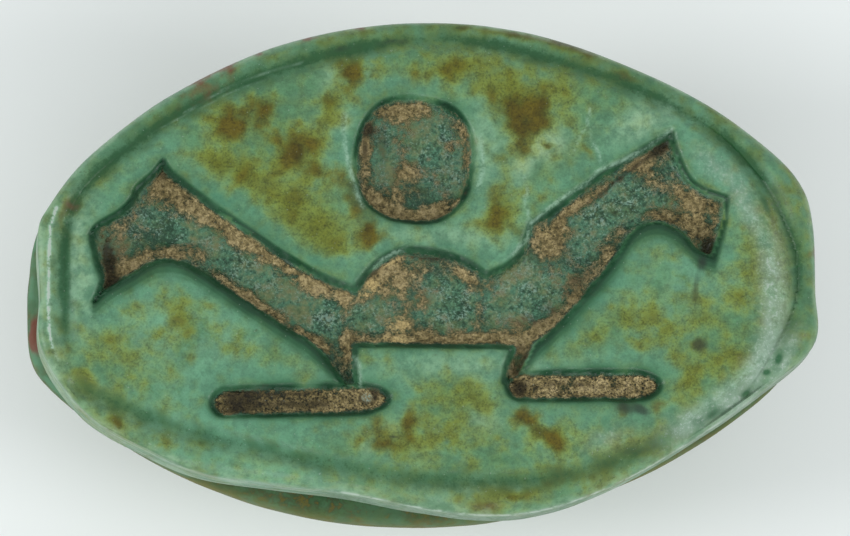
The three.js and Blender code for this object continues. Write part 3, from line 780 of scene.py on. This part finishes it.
# the string hole: the rod is taken away from the body
def pierce(piece):
    rod = stringRod()
    cut = piece.modifiers.new("stringHole", "BOOLEAN")
    cut.operation = "DIFFERENCE"
    cut.solver = "EXACT"
    cut.object = rod
    bpy.context.view_layer.update()
    pierced = bpy.data.meshes.new_from_object(piece.evaluated_get(bpy.context.evaluated_depsgraph_get()))
    piece.modifiers.clear()
    old = piece.data
    piece.data = pierced
    bpy.data.meshes.remove(old)
    bpy.data.objects.remove(rod)
    pierced.set_sharp_from_angle(angle=np.radians(55))


# marks of the face, one number per point: sums of soft patches, and fall-offs from the edges and lines
def faceMarks(points, read):
    flat = onPlane(points)
    cut, isDisc = read["cut"], read["isDisc"]
    outside = np.clip(cut, 0, None)
    undrifted = 1 - read["drift"]
    patchy, scratch = layeredNoise(flat, 0.5, 131, 2), layeredNoise(flat, 0.14, 141, 2)
    uneven = 1 + 0.45 * layeredNoise(flat, 0.7, 97, 2)
    # the wall round the right head is softer than the others
    calm = 1 - 0.75 * fallOff(points[:, 0] - 5.3, 0.9) * fallOff(points[:, 1] - 1.6, 1.1)
    edge = np.exp(-(outside / (np.where(isDisc, 0.045, 0.065) * uneven))**1.3)
    edge = edge * calm * np.clip(0.75 + 0.7 * patchy, 0.25, 1)
    broad = patchField(points, "broadTeal") * fallOff(outside, 0.36) * (1 + 0.4 * patchy)
    fromPebble = np.hypot(*(points - carving["pebbleAt"]).T)
    unsteady = 0.015 * layeredNoise(flat, 0.2, 101)
    # painted highlights along the lines
    wearAndHighlight = [strength * fallOff(nearestOn(points, np.array(line), False)[0] + unsteady, reach)
            for strength, reach, line in highlightLines]
    # the border's glaze is thin in places, and thick all along the upper left
    thick = np.clip(0.85 + 0.6 * layeredNoise(flat, 1.1, 111, 2), 0.25, 1.1)
    thick = np.maximum(thick, 1.15 * softStep(1.0, 2.0, points[:, 1]) * softStep(0.5, -1.5, points[:, 0]))
    core = (0.55 + 0.45 * softStep(-2.5, 0.5, points[:, 1])) * np.clip(thick + 0.25 * patchy, 0, 1.1)
    names = ("stain", "olive", "pale", "bluish", "deep", "smudge", "frostAndGlint", "dim")
    marks = {name: patchField(points, name) for name in names}
    marks.update({
        "carved": softStep(-0.02, 0.1, -cut),
        "cream": patchField(points, "cream") * softStep(0.0, 0.1, -cut),
        "darkFloor": patchField(points, "darkFloor") * softStep(0.0, 0.1, -cut),
        "deposit": depositField(points, read),
        "inFoot": softStep(0.03, 0.12, -read["foot"]),
        "pebble": softStep(0.02, -0.02, fromPebble - carving["pebbleRadius"]),
        "pebbleRing": fallOff(fromPebble - carving["pebbleRadius"] - 0.04, 0.025),
        # pooled glaze and painted shade in a teal band beside the figures
        "tealPoolAndShade": np.maximum(fallOff(outside, 0.2) * np.clip(0.55 + 0.5 * patchy, 0.1, 1) * undrifted,
                               np.clip(broad, 0, 1)),
        "pooled": np.maximum(edge, read["drift"] * uneven) * softStep(-0.15, -0.02, cut),
        "crisp": (fallOff(cut + np.where(isDisc, 0.03, 0.08), 0.055) * calm
                  * np.clip(0.55 + 0.9 * patchy, 0, 1)),
        "halo": fallOff(cut - 0.3, 0.24) * softStep(0.0, 0.2, cut) * undrifted,
        "wearAndHighlight": np.max(wearAndHighlight, axis=0),
        "groove": thick * fallOff(read["border"] + 0.07 * scratch + 0.05 * patchy, 0.27),
        "grooveCore": core * fallOff(read["border"] + 0.05 * scratch + 0.05 * patchy, 0.13),
        "edgePale": softStep(0.2, 0.06, read["rim"]) * np.clip(0.55 + patchy, 0, 1),
        "rim": softStep(0.9, 0.05, read["rim"]),
    })
    return marks


# marks of the side and the back, soft steps and fall-offs over the height; the near side is in shade
# from a little left of its middle to the right end
def sideMarks(points, plateSide):
    x, y, z = points.T
    left = atLeft(points)
    shaded = softStep(-2.6, -1.6, x)
    nearShaded = softStep(-2.0, -3.5, y) * shaded
    nearLip = 0.3 + 0.7 * softStep(1.8, 3.3, z)  # the dome is greener below the lip
    waistMiddle = (plateUnder + lipTop) / 2
    return {
        "redFleck": sum(strength * fallOff(np.linalg.norm(points - place, axis=1), reach)
                        for *place, reach, strength in redFlecks),
        "lip": nearLip * softStep(waistMiddle, waistMiddle - 0.3, z),
        "lipLow": nearLip * softStep(4.1, 3.6, z + 0.4 * left),
        # a painted highlight along the lip's top edge at the left end
        "lipEdge": left * fallOff(z - lipTop + 0.12, 0.14),
        # the waist under the plate: dirt and painted shade
        "waist": fallOff(z - plateUnder + 0.6 - 0.35 * left, 0.4),
        "undershade": softStep(1.1, 0.2, np.abs(z - plateUnder + 0.5)),
        "sideShade": plateSide * shaded * softStep(sealHeight - 0.45, sealHeight - 0.65, z),
        # a thin painted highlight along the top of the near side
        "sideLine": nearShaded * fallOff(z - sealHeight + 0.42, 0.05),
        "plateSide": plateSide * (1 - 0.75 * nearShaded),
    }


# all marks of the seal as attributes that the material reads; those of the face are 0 below the plate
def markSeal(piece, points, gridRead):
    plateCount = int(np.flatnonzero(points[:, 2] > plateUnder + 0.05).max()) + 1
    plate = points[:plateCount, :2]
    gridCount = len(gridRead["cut"])
    sideRead = readFace(plate[gridCount:])
    read = {name: np.concatenate([gridRead[name], sideRead[name]]) for name in gridRead}
    marks = faceMarks(plate, read)
    marks["plateSide"] = np.clip(1 - read["rim"] / 0.07, 0, 1) * (np.arange(plateCount) >= gridCount)
    below = np.zeros(len(points) - plateCount)
    marks = {name: np.concatenate([values, below]) for name, values in marks.items()}
    marks.update(sideMarks(points, marks["plateSide"]))
    layMarks(piece, marks)


# each mark becomes an attribute with one number per point
def layMarks(piece, marks):
    for name, values in marks.items():
        layer = piece.data.attributes.new(name, "FLOAT", "POINT")
        layer.data.foreach_set("value", values.astype(np.float32))


# the hole's wall, a soft step over the distance from the hole's axis
def markHole(piece):
    points = np.empty(len(piece.data.vertices) * 3)
    piece.data.vertices.foreach_get("co", points)
    points = points.reshape(-1, 3) / mm
    fromAxis = np.hypot(points[:, 1], points[:, 2] - body["stringHoleHeight"])
    radius = body["stringHole"] / 2
    layMarks(piece, {"holeWall": softStep(radius + 0.12, radius - 0.02, fromAxis)})


points, faces, gridRead = buildSeal()
seal = makeMesh("glazedCowroid", points, faces)
print("seal surface:", len(points), "points,", len(faces), "triangles")
markSeal(seal, points, gridRead)
print("marks laid for the glaze")
pierce(seal)
markHole(seal)
print("string hole cut:", len(seal.data.vertices), "points,", len(seal.data.attributes), "attributes")


# the glaze

# a linear colour from 0 to 255: each channel is raised to 2.4 as the sRGB curve says, or divided when dark
def srgb(red, green, blue):
    channel = np.array([red, green, blue]) / 255
    linear = np.where(channel <= 0.04045, channel / 12.92, ((channel + 0.055) / 1.055) ** 2.4)
    return (*[float(v) for v in linear], 1.0)


glaze = {name: srgb(*colour) for name, colour in {
    "light": (101, 148, 117), "middle": (81, 123, 88), "deep": (57, 98, 64), "halo": (86, 136, 108),
    "olive": (89, 94, 20), "yellow": (112, 125, 46), "brown": (50, 45, 5), "rust": (85, 74, 8),
    "pale": (135, 166, 134), "speck": (38, 50, 23), "pool": (16, 57, 36), "tealPoolAndShade": (50, 104, 78),
    "crisp": (15, 38, 25), "grooveGreen": (43, 91, 59), "grooveDark": (27, 73, 39),
    "depositLight": (158, 142, 103), "depositTan": (127, 113, 76), "depositBrown": (90, 79, 47),
    "depositDark": (42, 37, 20), "depositCream": (180, 159, 109), "floorTeal": (70, 113, 89),
    "floorFrost": (122, 151, 138), "floorDark": (38, 70, 50), "floorOlive": (88, 98, 48),
    "smudge": (31, 38, 34), "red": (106, 45, 38), "ridgeHighlight": (152, 186, 164), "sheenVeil": (140, 165, 147),
    "frostAndGlint": (173, 186, 177), "sideGrey": (138, 155, 141), "lipOlive": (60, 68, 36), "lipGold": (98, 96, 38),
}.items()}

# noises that the layers of the glaze share: size in millimetres, detail and roughness
glazeNoises = {
    "cloud": (2.6, 3, 0.55), "haze": (1.3, 4, 0.6), "blot": (0.9, 4, 0.6), "mottle": (0.3, 4, 0.62),
    "smooth": (0.34, 1.4, 0.5), "grain": (0.11, 3, 0.65), "fine": (0.045, 2, 0.7), "chips": (0.05, 1, 0.5),
}
# the streaks on the plate's side, and how much finer they run along each axis
streakNoise = (0.5, 5, 0.65)
streakStretch = (0.3, 0.3, 5.0)

# the deposit's colours by its lightness
depositStops = ((0.0, "depositDark"), (0.3, "depositBrown"), (0.68, "depositTan"), (1.0, "depositLight"))


# short ways to add nodes to one material, the noises that its layers share and the colour laid so far
class Nodes:
    def __init__(self, tree):
        self.tree = tree
        self.coords = self.add("ShaderNodeTexCoord").outputs["Object"]
        for name, (size, detail, rough) in glazeNoises.items():
            setattr(self, name, self.noise(self.coords, size, detail, rough))
        self.grainy = self.sum(self.grain, 0.5, self.fine, 0.5)
        self.speckled = self.sum(self.mottle, 0.5, self.grain, 0.5)
        clouds = self.sum(self.blot, 0.3, self.smooth, 0.6)
        self.broken = self.centred(self.sum(clouds, 1.0, self.grain, 0.1), 3.6)
        lumps = self.sum(self.blot, 0.2, self.mottle, 0.4)
        self.crumbs = self.centred(self.sum(lumps, 1.0, self.grainy, 0.4), 7.0)
        self.colour = glaze["middle"]

    # a node with its settings, and with each input linked or set
    def add(self, kind, inputs=None, **settings):
        node = self.tree.nodes.new(kind)
        for key, value in settings.items():
            setattr(node, key, value)
        for key, value in (inputs or {}).items():
            if isinstance(value, bpy.types.NodeSocket):
                self.tree.links.new(value, node.inputs[key])
            else:
                node.inputs[key].default_value = value
        return node

    # a mark of the mesh as a number
    def mark(self, name):
        return self.add("ShaderNodeAttribute", attribute_name=name).outputs["Fac"]

    # one step of arithmetic on two numbers, held between 0 and 1 if clamped
    def math(self, operation, a, b, clamp=False):
        return self.add("ShaderNodeMath", {0: a, 1: b}, operation=operation, use_clamp=clamp).outputs[0]

    # a plus b
    def plus(self, a, b, clamp=False):
        return self.math("ADD", a, b, clamp)

    # a minus b, not below 0 or above 1
    def less(self, a, b):
        return self.math("SUBTRACT", a, b, True)

    # a times b
    def times(self, a, b, clamp=False):
        return self.math("MULTIPLY", a, b, clamp)

    # a times its weight plus b times its weight
    def sum(self, a, aWeight, b, bWeight):
        return self.plus(self.times(a, aWeight), self.times(b, bWeight))

    # layers of noise about 0.5, the largest of the given size in millimetres
    def noise(self, coords, size, detail, rough):
        inputs = {"Vector": coords, "Scale": 1 / (size * mm), "Detail": detail, "Roughness": rough}
        return self.add("ShaderNodeTexNoise", inputs).outputs["Fac"]

    # a noise minus its middle, times a gain
    def centred(self, value, gain):
        return self.times(self.math("SUBTRACT", value, 0.5), gain)

    # a soft step between a low and a high value, stretched from the bottom to the top share
    def ramp(self, value, low, high, top=1.0, bottom=0.0):
        inputs = {"Value": value, "From Min": low, "From Max": high, "To Min": bottom, "To Max": top}
        return self.add("ShaderNodeMapRange", inputs, interpolation_type="SMOOTHSTEP").outputs["Result"]

    # a mark times a soft step of a noise
    def dabbed(self, name, *step):
        return self.times(self.mark(name), self.ramp(*step), True)

    # a soft step of a mark plus a noise times its weight
    def frayed(self, name, value, weight, *step):
        return self.ramp(self.plus(self.mark(name), self.times(value, weight)), *step)

    # two colours, or names of the glaze's: one minus the share of the first plus the share of the second
    def mix(self, share, a, b):
        a, b = (glaze[colour] if isinstance(colour, str) else colour for colour in (a, b))
        return self.add("ShaderNodeMix", {0: share, 6: a, 7: b}, data_type="RGBA").outputs[2]

    # a colour mixed by a share into the colour laid so far
    def coat(self, share, colour):
        self.colour = self.mix(share, self.colour, colour)

    # a colour multiplied by a factor
    def shade(self, colour, factor):
        inputs = {0: 1.0, 6: colour, 7: factor}
        return self.add("ShaderNodeMix", inputs, data_type="RGBA", blend_type="MULTIPLY").outputs[2]

    # a colour multiplied by one plus a noise about its middle times a gain
    def peppered(self, colour, value, gain):
        return self.shade(colour, self.plus(1.0, self.centred(value, gain)))


# the ground: light and middle green in clouds, darker where it ran thick, bluish and pale in patches;
# then yellow-green and olive clouds and the brown stains, their edges broken by grain, with pepper and specks
def groundLayer(n):
    n.coat(n.ramp(n.sum(n.cloud, 0.6, n.blot, 0.4), 0.42, 0.58), "light")
    n.coat(n.ramp(n.sum(n.blot, 0.6, n.mottle, 0.4), 0.47, 0.62, 0.75), "deep")
    bluish = n.math("MINIMUM", n.sum(n.mark("halo"), 0.9, n.mark("bluish"), 0.7), 1.0)
    n.coat(n.times(bluish, n.ramp(n.smooth, 0.3, 0.6, 0.95, 0.55)), "halo")
    n.coat(n.dabbed("pale", n.mottle, 0.35, 0.6, 0.75, 0.25), "pale")

    loose = n.ramp(n.sum(n.haze, 0.8, n.mottle, 0.2), 0.42, 0.6, 0.65, 0.1)
    loose = n.times(loose, n.less(1.0, n.times(bluish, 0.95)))
    olive = n.plus(n.plus(n.mark("olive"), loose), n.plus(n.times(n.mark("stain"), 0.9), n.broken))
    yellowish = n.ramp(olive, -0.25, 1.2, 0.75)
    n.coat(yellowish, "yellow")
    n.coat(n.ramp(olive, 0.4, 2.0, 0.9), "olive")
    brown = n.mix(n.ramp(n.sum(n.blot, 0.5, n.smooth, 0.5), 0.4, 0.62), "brown", "rust")
    n.coat(n.frayed("stain", n.broken, 1.0, 0.2, 1.5, 0.95), brown)
    n.colour = n.shade(n.colour, n.ramp(n.mottle, 0.36, 0.64, 1.14, 0.84))
    n.colour = n.peppered(n.colour, n.grainy, n.plus(1.2, n.times(yellowish, 2.6)))
    thickness = n.plus(n.sum(n.mark("rim"), 0.05, n.mark("groove"), 0.09), n.times(yellowish, 0.05))
    n.coat(n.ramp(n.plus(n.grainy, thickness), 0.59, 0.72, 0.3), "speck")


# glaze pooled dark in the border and round the figures, with painted shade in the teal band beside them, and
# thin and pale along the edge
def poolLayer(n):
    n.coat(n.frayed("deep", n.broken, 0.4, 0.2, 0.9, 0.85), "grooveGreen")
    n.coat(n.frayed("groove", n.broken, 0.35, 0.1, 1.1, 0.55), "grooveGreen")
    n.coat(n.frayed("grooveCore", n.centred(n.grainy, 2.0), 1.0, 0.15, 1.0, 0.8), "grooveDark")
    n.coat(n.dabbed("edgePale", n.mottle, 0.38, 0.6, 0.6, 0.1), "pale")
    n.coat(n.times(n.mark("tealPoolAndShade"), 0.75, True), "tealPoolAndShade")
    n.coat(n.frayed("pooled", n.broken, 0.15, 0.0, 0.6, 0.8), "grooveGreen")
    n.coat(n.frayed("pooled", n.broken, 0.15, 0.3, 1.0, 0.85), "pool")


# the carved floor: dark and light teal with frost and olive, peppered, under a thin tan film
def floorLayer(n):
    tone = n.mix(n.ramp(n.sum(n.blot, 0.5, n.grainy, 0.5), 0.4, 0.54), "floorDark", "floorTeal")
    tone = n.mix(n.ramp(n.sum(n.fine, 0.5, n.mottle, 0.5), 0.51, 0.62, 0.7), tone, "floorFrost")
    olive = n.sum(n.sum(n.blot, 0.4, n.smooth, 0.4), 1.0, n.grain, 0.2)
    tone = n.peppered(n.mix(n.ramp(olive, 0.44, 0.64, 0.55), tone, "floorOlive"), n.grainy, 2.4)
    film = n.sum(n.sum(n.blot, 0.4, n.mottle, 0.3), 1.0, n.grain, 0.3)
    tone = n.mix(n.ramp(film, 0.46, 0.62, 0.45), tone, "depositTan")
    n.coat(n.frayed("carved", n.mark("pooled"), -0.8, 0.1, 0.8), tone)
    n.coat(n.dabbed("crisp", n.speckled, 0.4, 0.58, 0.25, 0.9), "crisp")


# the crumbly deposit from dark to light, what fills the feet, the grain stuck there, and darker patches in
# the hollows and round the grain
def depositLayer(n, deposit):
    light = n.plus(n.centred(n.sum(n.mottle, 0.4, n.grain, 0.6), 4.0), 0.64)
    light = n.less(light, n.times(n.mark("dim"), 0.32))
    node = n.add("ShaderNodeValToRGB", {"Fac": light})
    elements = node.color_ramp.elements
    elements.new(0.3)
    elements.new(0.68)
    for element, (place, name) in zip(elements, depositStops):
        element.position, element.color = place, glaze[name]
    tone = n.mix(n.frayed("cream", n.crumbs, 0.4, 0.25, 1.0, 0.85), node.outputs["Color"], "depositCream")
    n.coat(deposit, n.peppered(tone, n.fine, n.plus(2.2, n.times(n.mark("inFoot"), 3.0))))
    n.coat(n.mark("pebble"), n.mix(n.ramp(n.fine, 0.4, 0.6), "depositTan", "sideGrey"))
    dark = n.plus(n.plus(n.mark("darkFloor"), n.mark("pebbleRing")), n.times(n.crumbs, 0.6))
    n.coat(n.ramp(dark, 0.2, 1.1, 0.9), n.peppered(glaze["depositDark"], n.grainy, 5.0))


# painted glints as tiny bright specks all over, smudges, frosted glaze with a painted sheen and sparkle over
# it, and thin painted highlight lines
def wearLayer(n):
    # painted glints: tiny bright specks
    n.coat(n.ramp(n.chips, 0.72, 0.8, 0.25), "frostAndGlint")
    n.coat(n.frayed("smudge", n.broken, 0.5, 0.3, 1.2, 0.75), "smudge")
    bareOfDeep = n.less(1.0, n.mark("deep"))
    glintedFrost = n.times(n.mark("frostAndGlint"), bareOfDeep, True)
    # painted sheen and sparkle over the frosted glaze
    n.coat(n.times(glintedFrost, n.ramp(n.sum(n.smooth, 0.6, n.grain, 0.4), 0.3, 0.6, 0.85, 0.3)), "sheenVeil")
    n.coat(n.times(glintedFrost, n.ramp(n.grainy, 0.52, 0.64, 0.6)), "frostAndGlint")
    # painted highlights along the lines, pale green and white where strongest
    wearAndHighlight = n.dabbed("wearAndHighlight", n.sum(n.mottle, 0.5, n.grainy, 0.5), 0.42, 0.58, 0.8, 0.1)
    wearAndHighlight = n.times(wearAndHighlight, bareOfDeep)
    n.coat(n.math("MINIMUM", wearAndHighlight, 0.85), n.mix(n.ramp(wearAndHighlight, 0.7, 1.0), "ridgeHighlight", "frostAndGlint"))


# the plate's side: grey streaks of painted reflection with dark green between, in painted shade along the
# near side, with a thin painted highlight at its top; below it the back's lip is browner, with painted shade
# under the plate and a painted highlight on the lip's left edge, the waist holds dirt and painted shade, the
# hole's wall is darkened, and a few red flecks lie on the edge
def sideLayer(n, streak):
    # painted reflection: grey streaks on the plate's side
    n.coat(n.dabbed("plateSide", n.sum(streak, 0.8, n.blot, 0.2), 0.47, 0.56, 0.6), "sideGrey")
    n.coat(n.dabbed("plateSide", n.sum(streak, 0.85, n.grain, 0.15), 0.52, 0.43, 0.7), "grooveGreen")
    n.coat(n.times(n.mark("sideShade"), 0.55), "grooveDark")
    # painted highlight along the top of the near side
    n.coat(n.dabbed("sideLine", n.mottle, 0.4, 0.6, 0.8, 0.1), "frostAndGlint")

    lipTone = n.mix(n.ramp(n.mottle, 0.46, 0.66), "lipOlive", "depositBrown")
    n.coat(n.dabbed("lip", n.sum(n.blot, 0.5, n.mottle, 0.5), 0.42, 0.6, 0.95, 0.5), lipTone)
    n.coat(n.dabbed("lipLow", n.sum(n.smooth, 0.5, n.blot, 0.5), 0.36, 0.6, 0.9, 0.3), "lipGold")
    n.coat(n.times(n.mark("undershade"), 0.4), "grooveGreen")
    # painted highlight on the lip's left edge
    n.coat(n.dabbed("lipEdge", n.smooth, 0.35, 0.6, 0.6, 0.1), "halo")
    # dirt and painted shade in the waist under the plate: dark green and dark brown, rusty in places
    dirtAndShadeTone = n.mix(n.ramp(n.speckled, 0.45, 0.58), "grooveDark", "depositDark")
    dirtAndShadeTone = n.mix(n.ramp(n.sum(n.mottle, 0.6, n.grain, 0.4), 0.53, 0.6), dirtAndShadeTone, "rust")
    n.coat(n.frayed("waist", n.crumbs, 0.25, 0.2, 1.0, 0.85), dirtAndShadeTone)
    n.coat(n.frayed("redFleck", n.broken, 0.6, 0.35, 1.0, 0.8), "red")
    # the string hole's wall darkened
    n.coat(n.times(n.mark("holeWall"), 0.85), "depositDark")


# relief too fine for the mesh, summed: glaze ripple, grit in the deposit and the frost, streaks on the side
def fineRelief(n, deposit, streak):
    grit = n.times(n.sum(n.grain, 0.06, n.fine, 0.03), deposit)
    ripple = n.plus(n.sum(n.mottle, 0.012, n.blot, 0.02), n.sum(n.grain, 0.005, n.fine, 0.002))
    wearAndHighlight = n.sum(n.times(n.grainy, n.mark("frostAndGlint")), 0.02, n.times(streak, n.mark("plateSide")), 0.015)
    height = n.times(n.plus(n.plus(grit, ripple), wearAndHighlight), mm)
    return n.add("ShaderNodeBump", {"Height": height, "Distance": 1.0, "Strength": 1.0}).outputs["Normal"]


# the whole glaze: layer over layer of colour, a roughness that rises on the deposit and the lip, fine relief
def glazeMaterial():
    material = bpy.data.materials.new("wornTurquoiseGlaze")
    material.use_nodes = True
    tree = material.node_tree
    tree.nodes.clear()
    n = Nodes(tree)
    deposit = n.frayed("deposit", n.crumbs, 1.0, 0.05, 1.2, 0.97)
    deposit = n.times(deposit, n.ramp(n.mark("carved"), 0.3, 0.9))
    stretched = n.add("ShaderNodeMapping", {"Vector": n.coords, "Scale": streakStretch}).outputs["Vector"]
    streak = n.noise(stretched, *streakNoise)

    groundLayer(n)
    poolLayer(n)
    floorLayer(n)
    depositLayer(n, deposit)
    wearLayer(n)
    sideLayer(n, streak)

    rough = n.ramp(n.sum(n.blot, 0.5, n.grain, 0.5), 0.4, 0.6, 0.5, 0.3)
    rough = n.plus(rough, n.sum(deposit, 0.4, n.mark("lip"), 0.35), True)
    shader = n.add("ShaderNodeBsdfPrincipled", {
        "Base Color": n.colour, "Roughness": rough, "Normal": fineRelief(n, deposit, streak), "IOR": 1.5,
        "Specular IOR Level": 0.3,
    })
    out = n.add("ShaderNodeOutputMaterial")
    tree.links.new(shader.outputs["BSDF"], out.inputs["Surface"])
    return material


seal.data.materials.clear()
seal.data.materials.append(glazeMaterial())
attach(seal, "root")
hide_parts("cowroid")
print("glaze laid on")


# floor, light and camera, in metres and watts

stage = {
    "floorSize": 1.2,
    "floorColour": (233, 237, 237),
    "skyColour": (240, 243, 243),
    "skyStrength": 0.8,
    "lightsAim": (0, 0, 0.004),
}

# place, size across and up, and power
softboxes = {
    "leftSoftbox": ((-0.32, -0.03, 0.16), (0.10, 0.24), 0.6),
    "rightSoftbox": ((0.30, -0.10, 0.20), (0.12, 0.24), 0.45),
    "frontSoftbox": ((-0.05, -0.34, 0.14), (0.26, 0.08), 0.3),
}

# The camera looks down on the face, tilted a little towards the near side and the left, in degrees,
# far enough away that the seal shows hardly any perspective.
photoView = {
    "tiltNear": 10.6, "tiltLeft": 4.5, "distance": 0.192, "pixelsPerMm": 49.46,
    "frameWide": 850, "frameHigh": 536, "middleAt": (427.5, 264.0), "sensorWidth": 36,
}


# a way made one long
def unit(way):
    return way / np.linalg.norm(way)


# Puts an object at a place, looking against the given way. Its X axis is the level axis made square to the
# way, and its Y axis is square to both.
def placeLooking(thing, place, way, level):
    side = unit(level - np.dot(level, way) * way)
    upward = np.cross(way, side)
    matrix = np.eye(4)
    matrix[:3] = np.column_stack([side, upward, way, place])
    thing.matrix_world = Matrix(matrix.tolist())


# a soft rectangular light that looks at the seal, its width level
def softLight(name, place, size, power):
    data = bpy.data.lights.new(name, "AREA")
    data.shape = "RECTANGLE"
    data.size, data.size_y = size
    data.energy = power
    light = bpy.data.objects.new(name, data)
    bpy.context.scene.collection.objects.link(light)
    way = unit(np.array(place) - stage["lightsAim"])
    placeLooking(light, place, way, np.cross([0, 0, 1], way))


# a square of plain pale paper at height 0
def layFloor():
    half = stage["floorSize"] / 2
    mesh = bpy.data.meshes.new("paleFloor")
    corners = [(-half, -half, 0), (half, -half, 0), (half, half, 0), (-half, half, 0)]
    mesh.from_pydata(corners, [], [(0, 1, 2, 3)])
    floor = bpy.data.objects.new("paleFloor", mesh)
    bpy.context.scene.collection.objects.link(floor)
    material = bpy.data.materials.new("palePaper")
    material.use_nodes = True
    paper = material.node_tree.nodes["Principled BSDF"]
    paper.inputs["Base Color"].default_value = srgb(*stage["floorColour"])
    paper.inputs["Roughness"].default_value = 0.9
    mesh.materials.append(material)


# even light from all round
def lightRoom():
    room = bpy.data.worlds.new("softRoom")
    room.use_nodes = True
    background = room.node_tree.nodes["Background"]
    background.inputs["Color"].default_value = srgb(*stage["skyColour"])
    background.inputs["Strength"].default_value = stage["skyStrength"]
    bpy.context.scene.world = room


# The photograph's camera. It looks along its tilts, and is moved aside by the step from the frame's middle to
# the pixel that the seal's middle lies at, measured on the face. Its lens is the sensor's width times the
# distance, over the width of the face that the frame shows.
def setCamera():
    view = photoView
    way = unit(np.array([-np.tan(np.radians(view["tiltLeft"])), -np.tan(np.radians(view["tiltNear"])), 1.0]))
    across = unit(np.array([1.0, 0, 0]) - way[0] * way)
    upward = np.cross(way, across)
    pixel = mm / view["pixelsPerMm"]
    aside = (view["frameWide"] / 2 - view["middleAt"][0]) * pixel
    above = (view["middleAt"][1] - view["frameHigh"] / 2) * pixel
    place = np.array([0, 0, sealHeight * mm]) + across * aside + upward * above + way * view["distance"]
    data = bpy.data.cameras.new("photoCamera")
    data.sensor_width = view["sensorWidth"]
    data.lens = view["distance"] * view["sensorWidth"] / (view["frameWide"] * pixel)
    data.clip_start = 0.01
    data.clip_end = 10
    camera = bpy.data.objects.new("photoCamera", data)
    bpy.context.scene.collection.objects.link(camera)
    placeLooking(camera, place, way, np.array([1, 0, 0]))
    bpy.context.scene.camera = camera


layFloor()
lightRoom()
for name, (place, size, power) in softboxes.items():
    softLight(name, place, size, power)
setCamera()
bpy.context.scene.view_settings.view_transform = "Standard"
print("floor, lights and camera set")
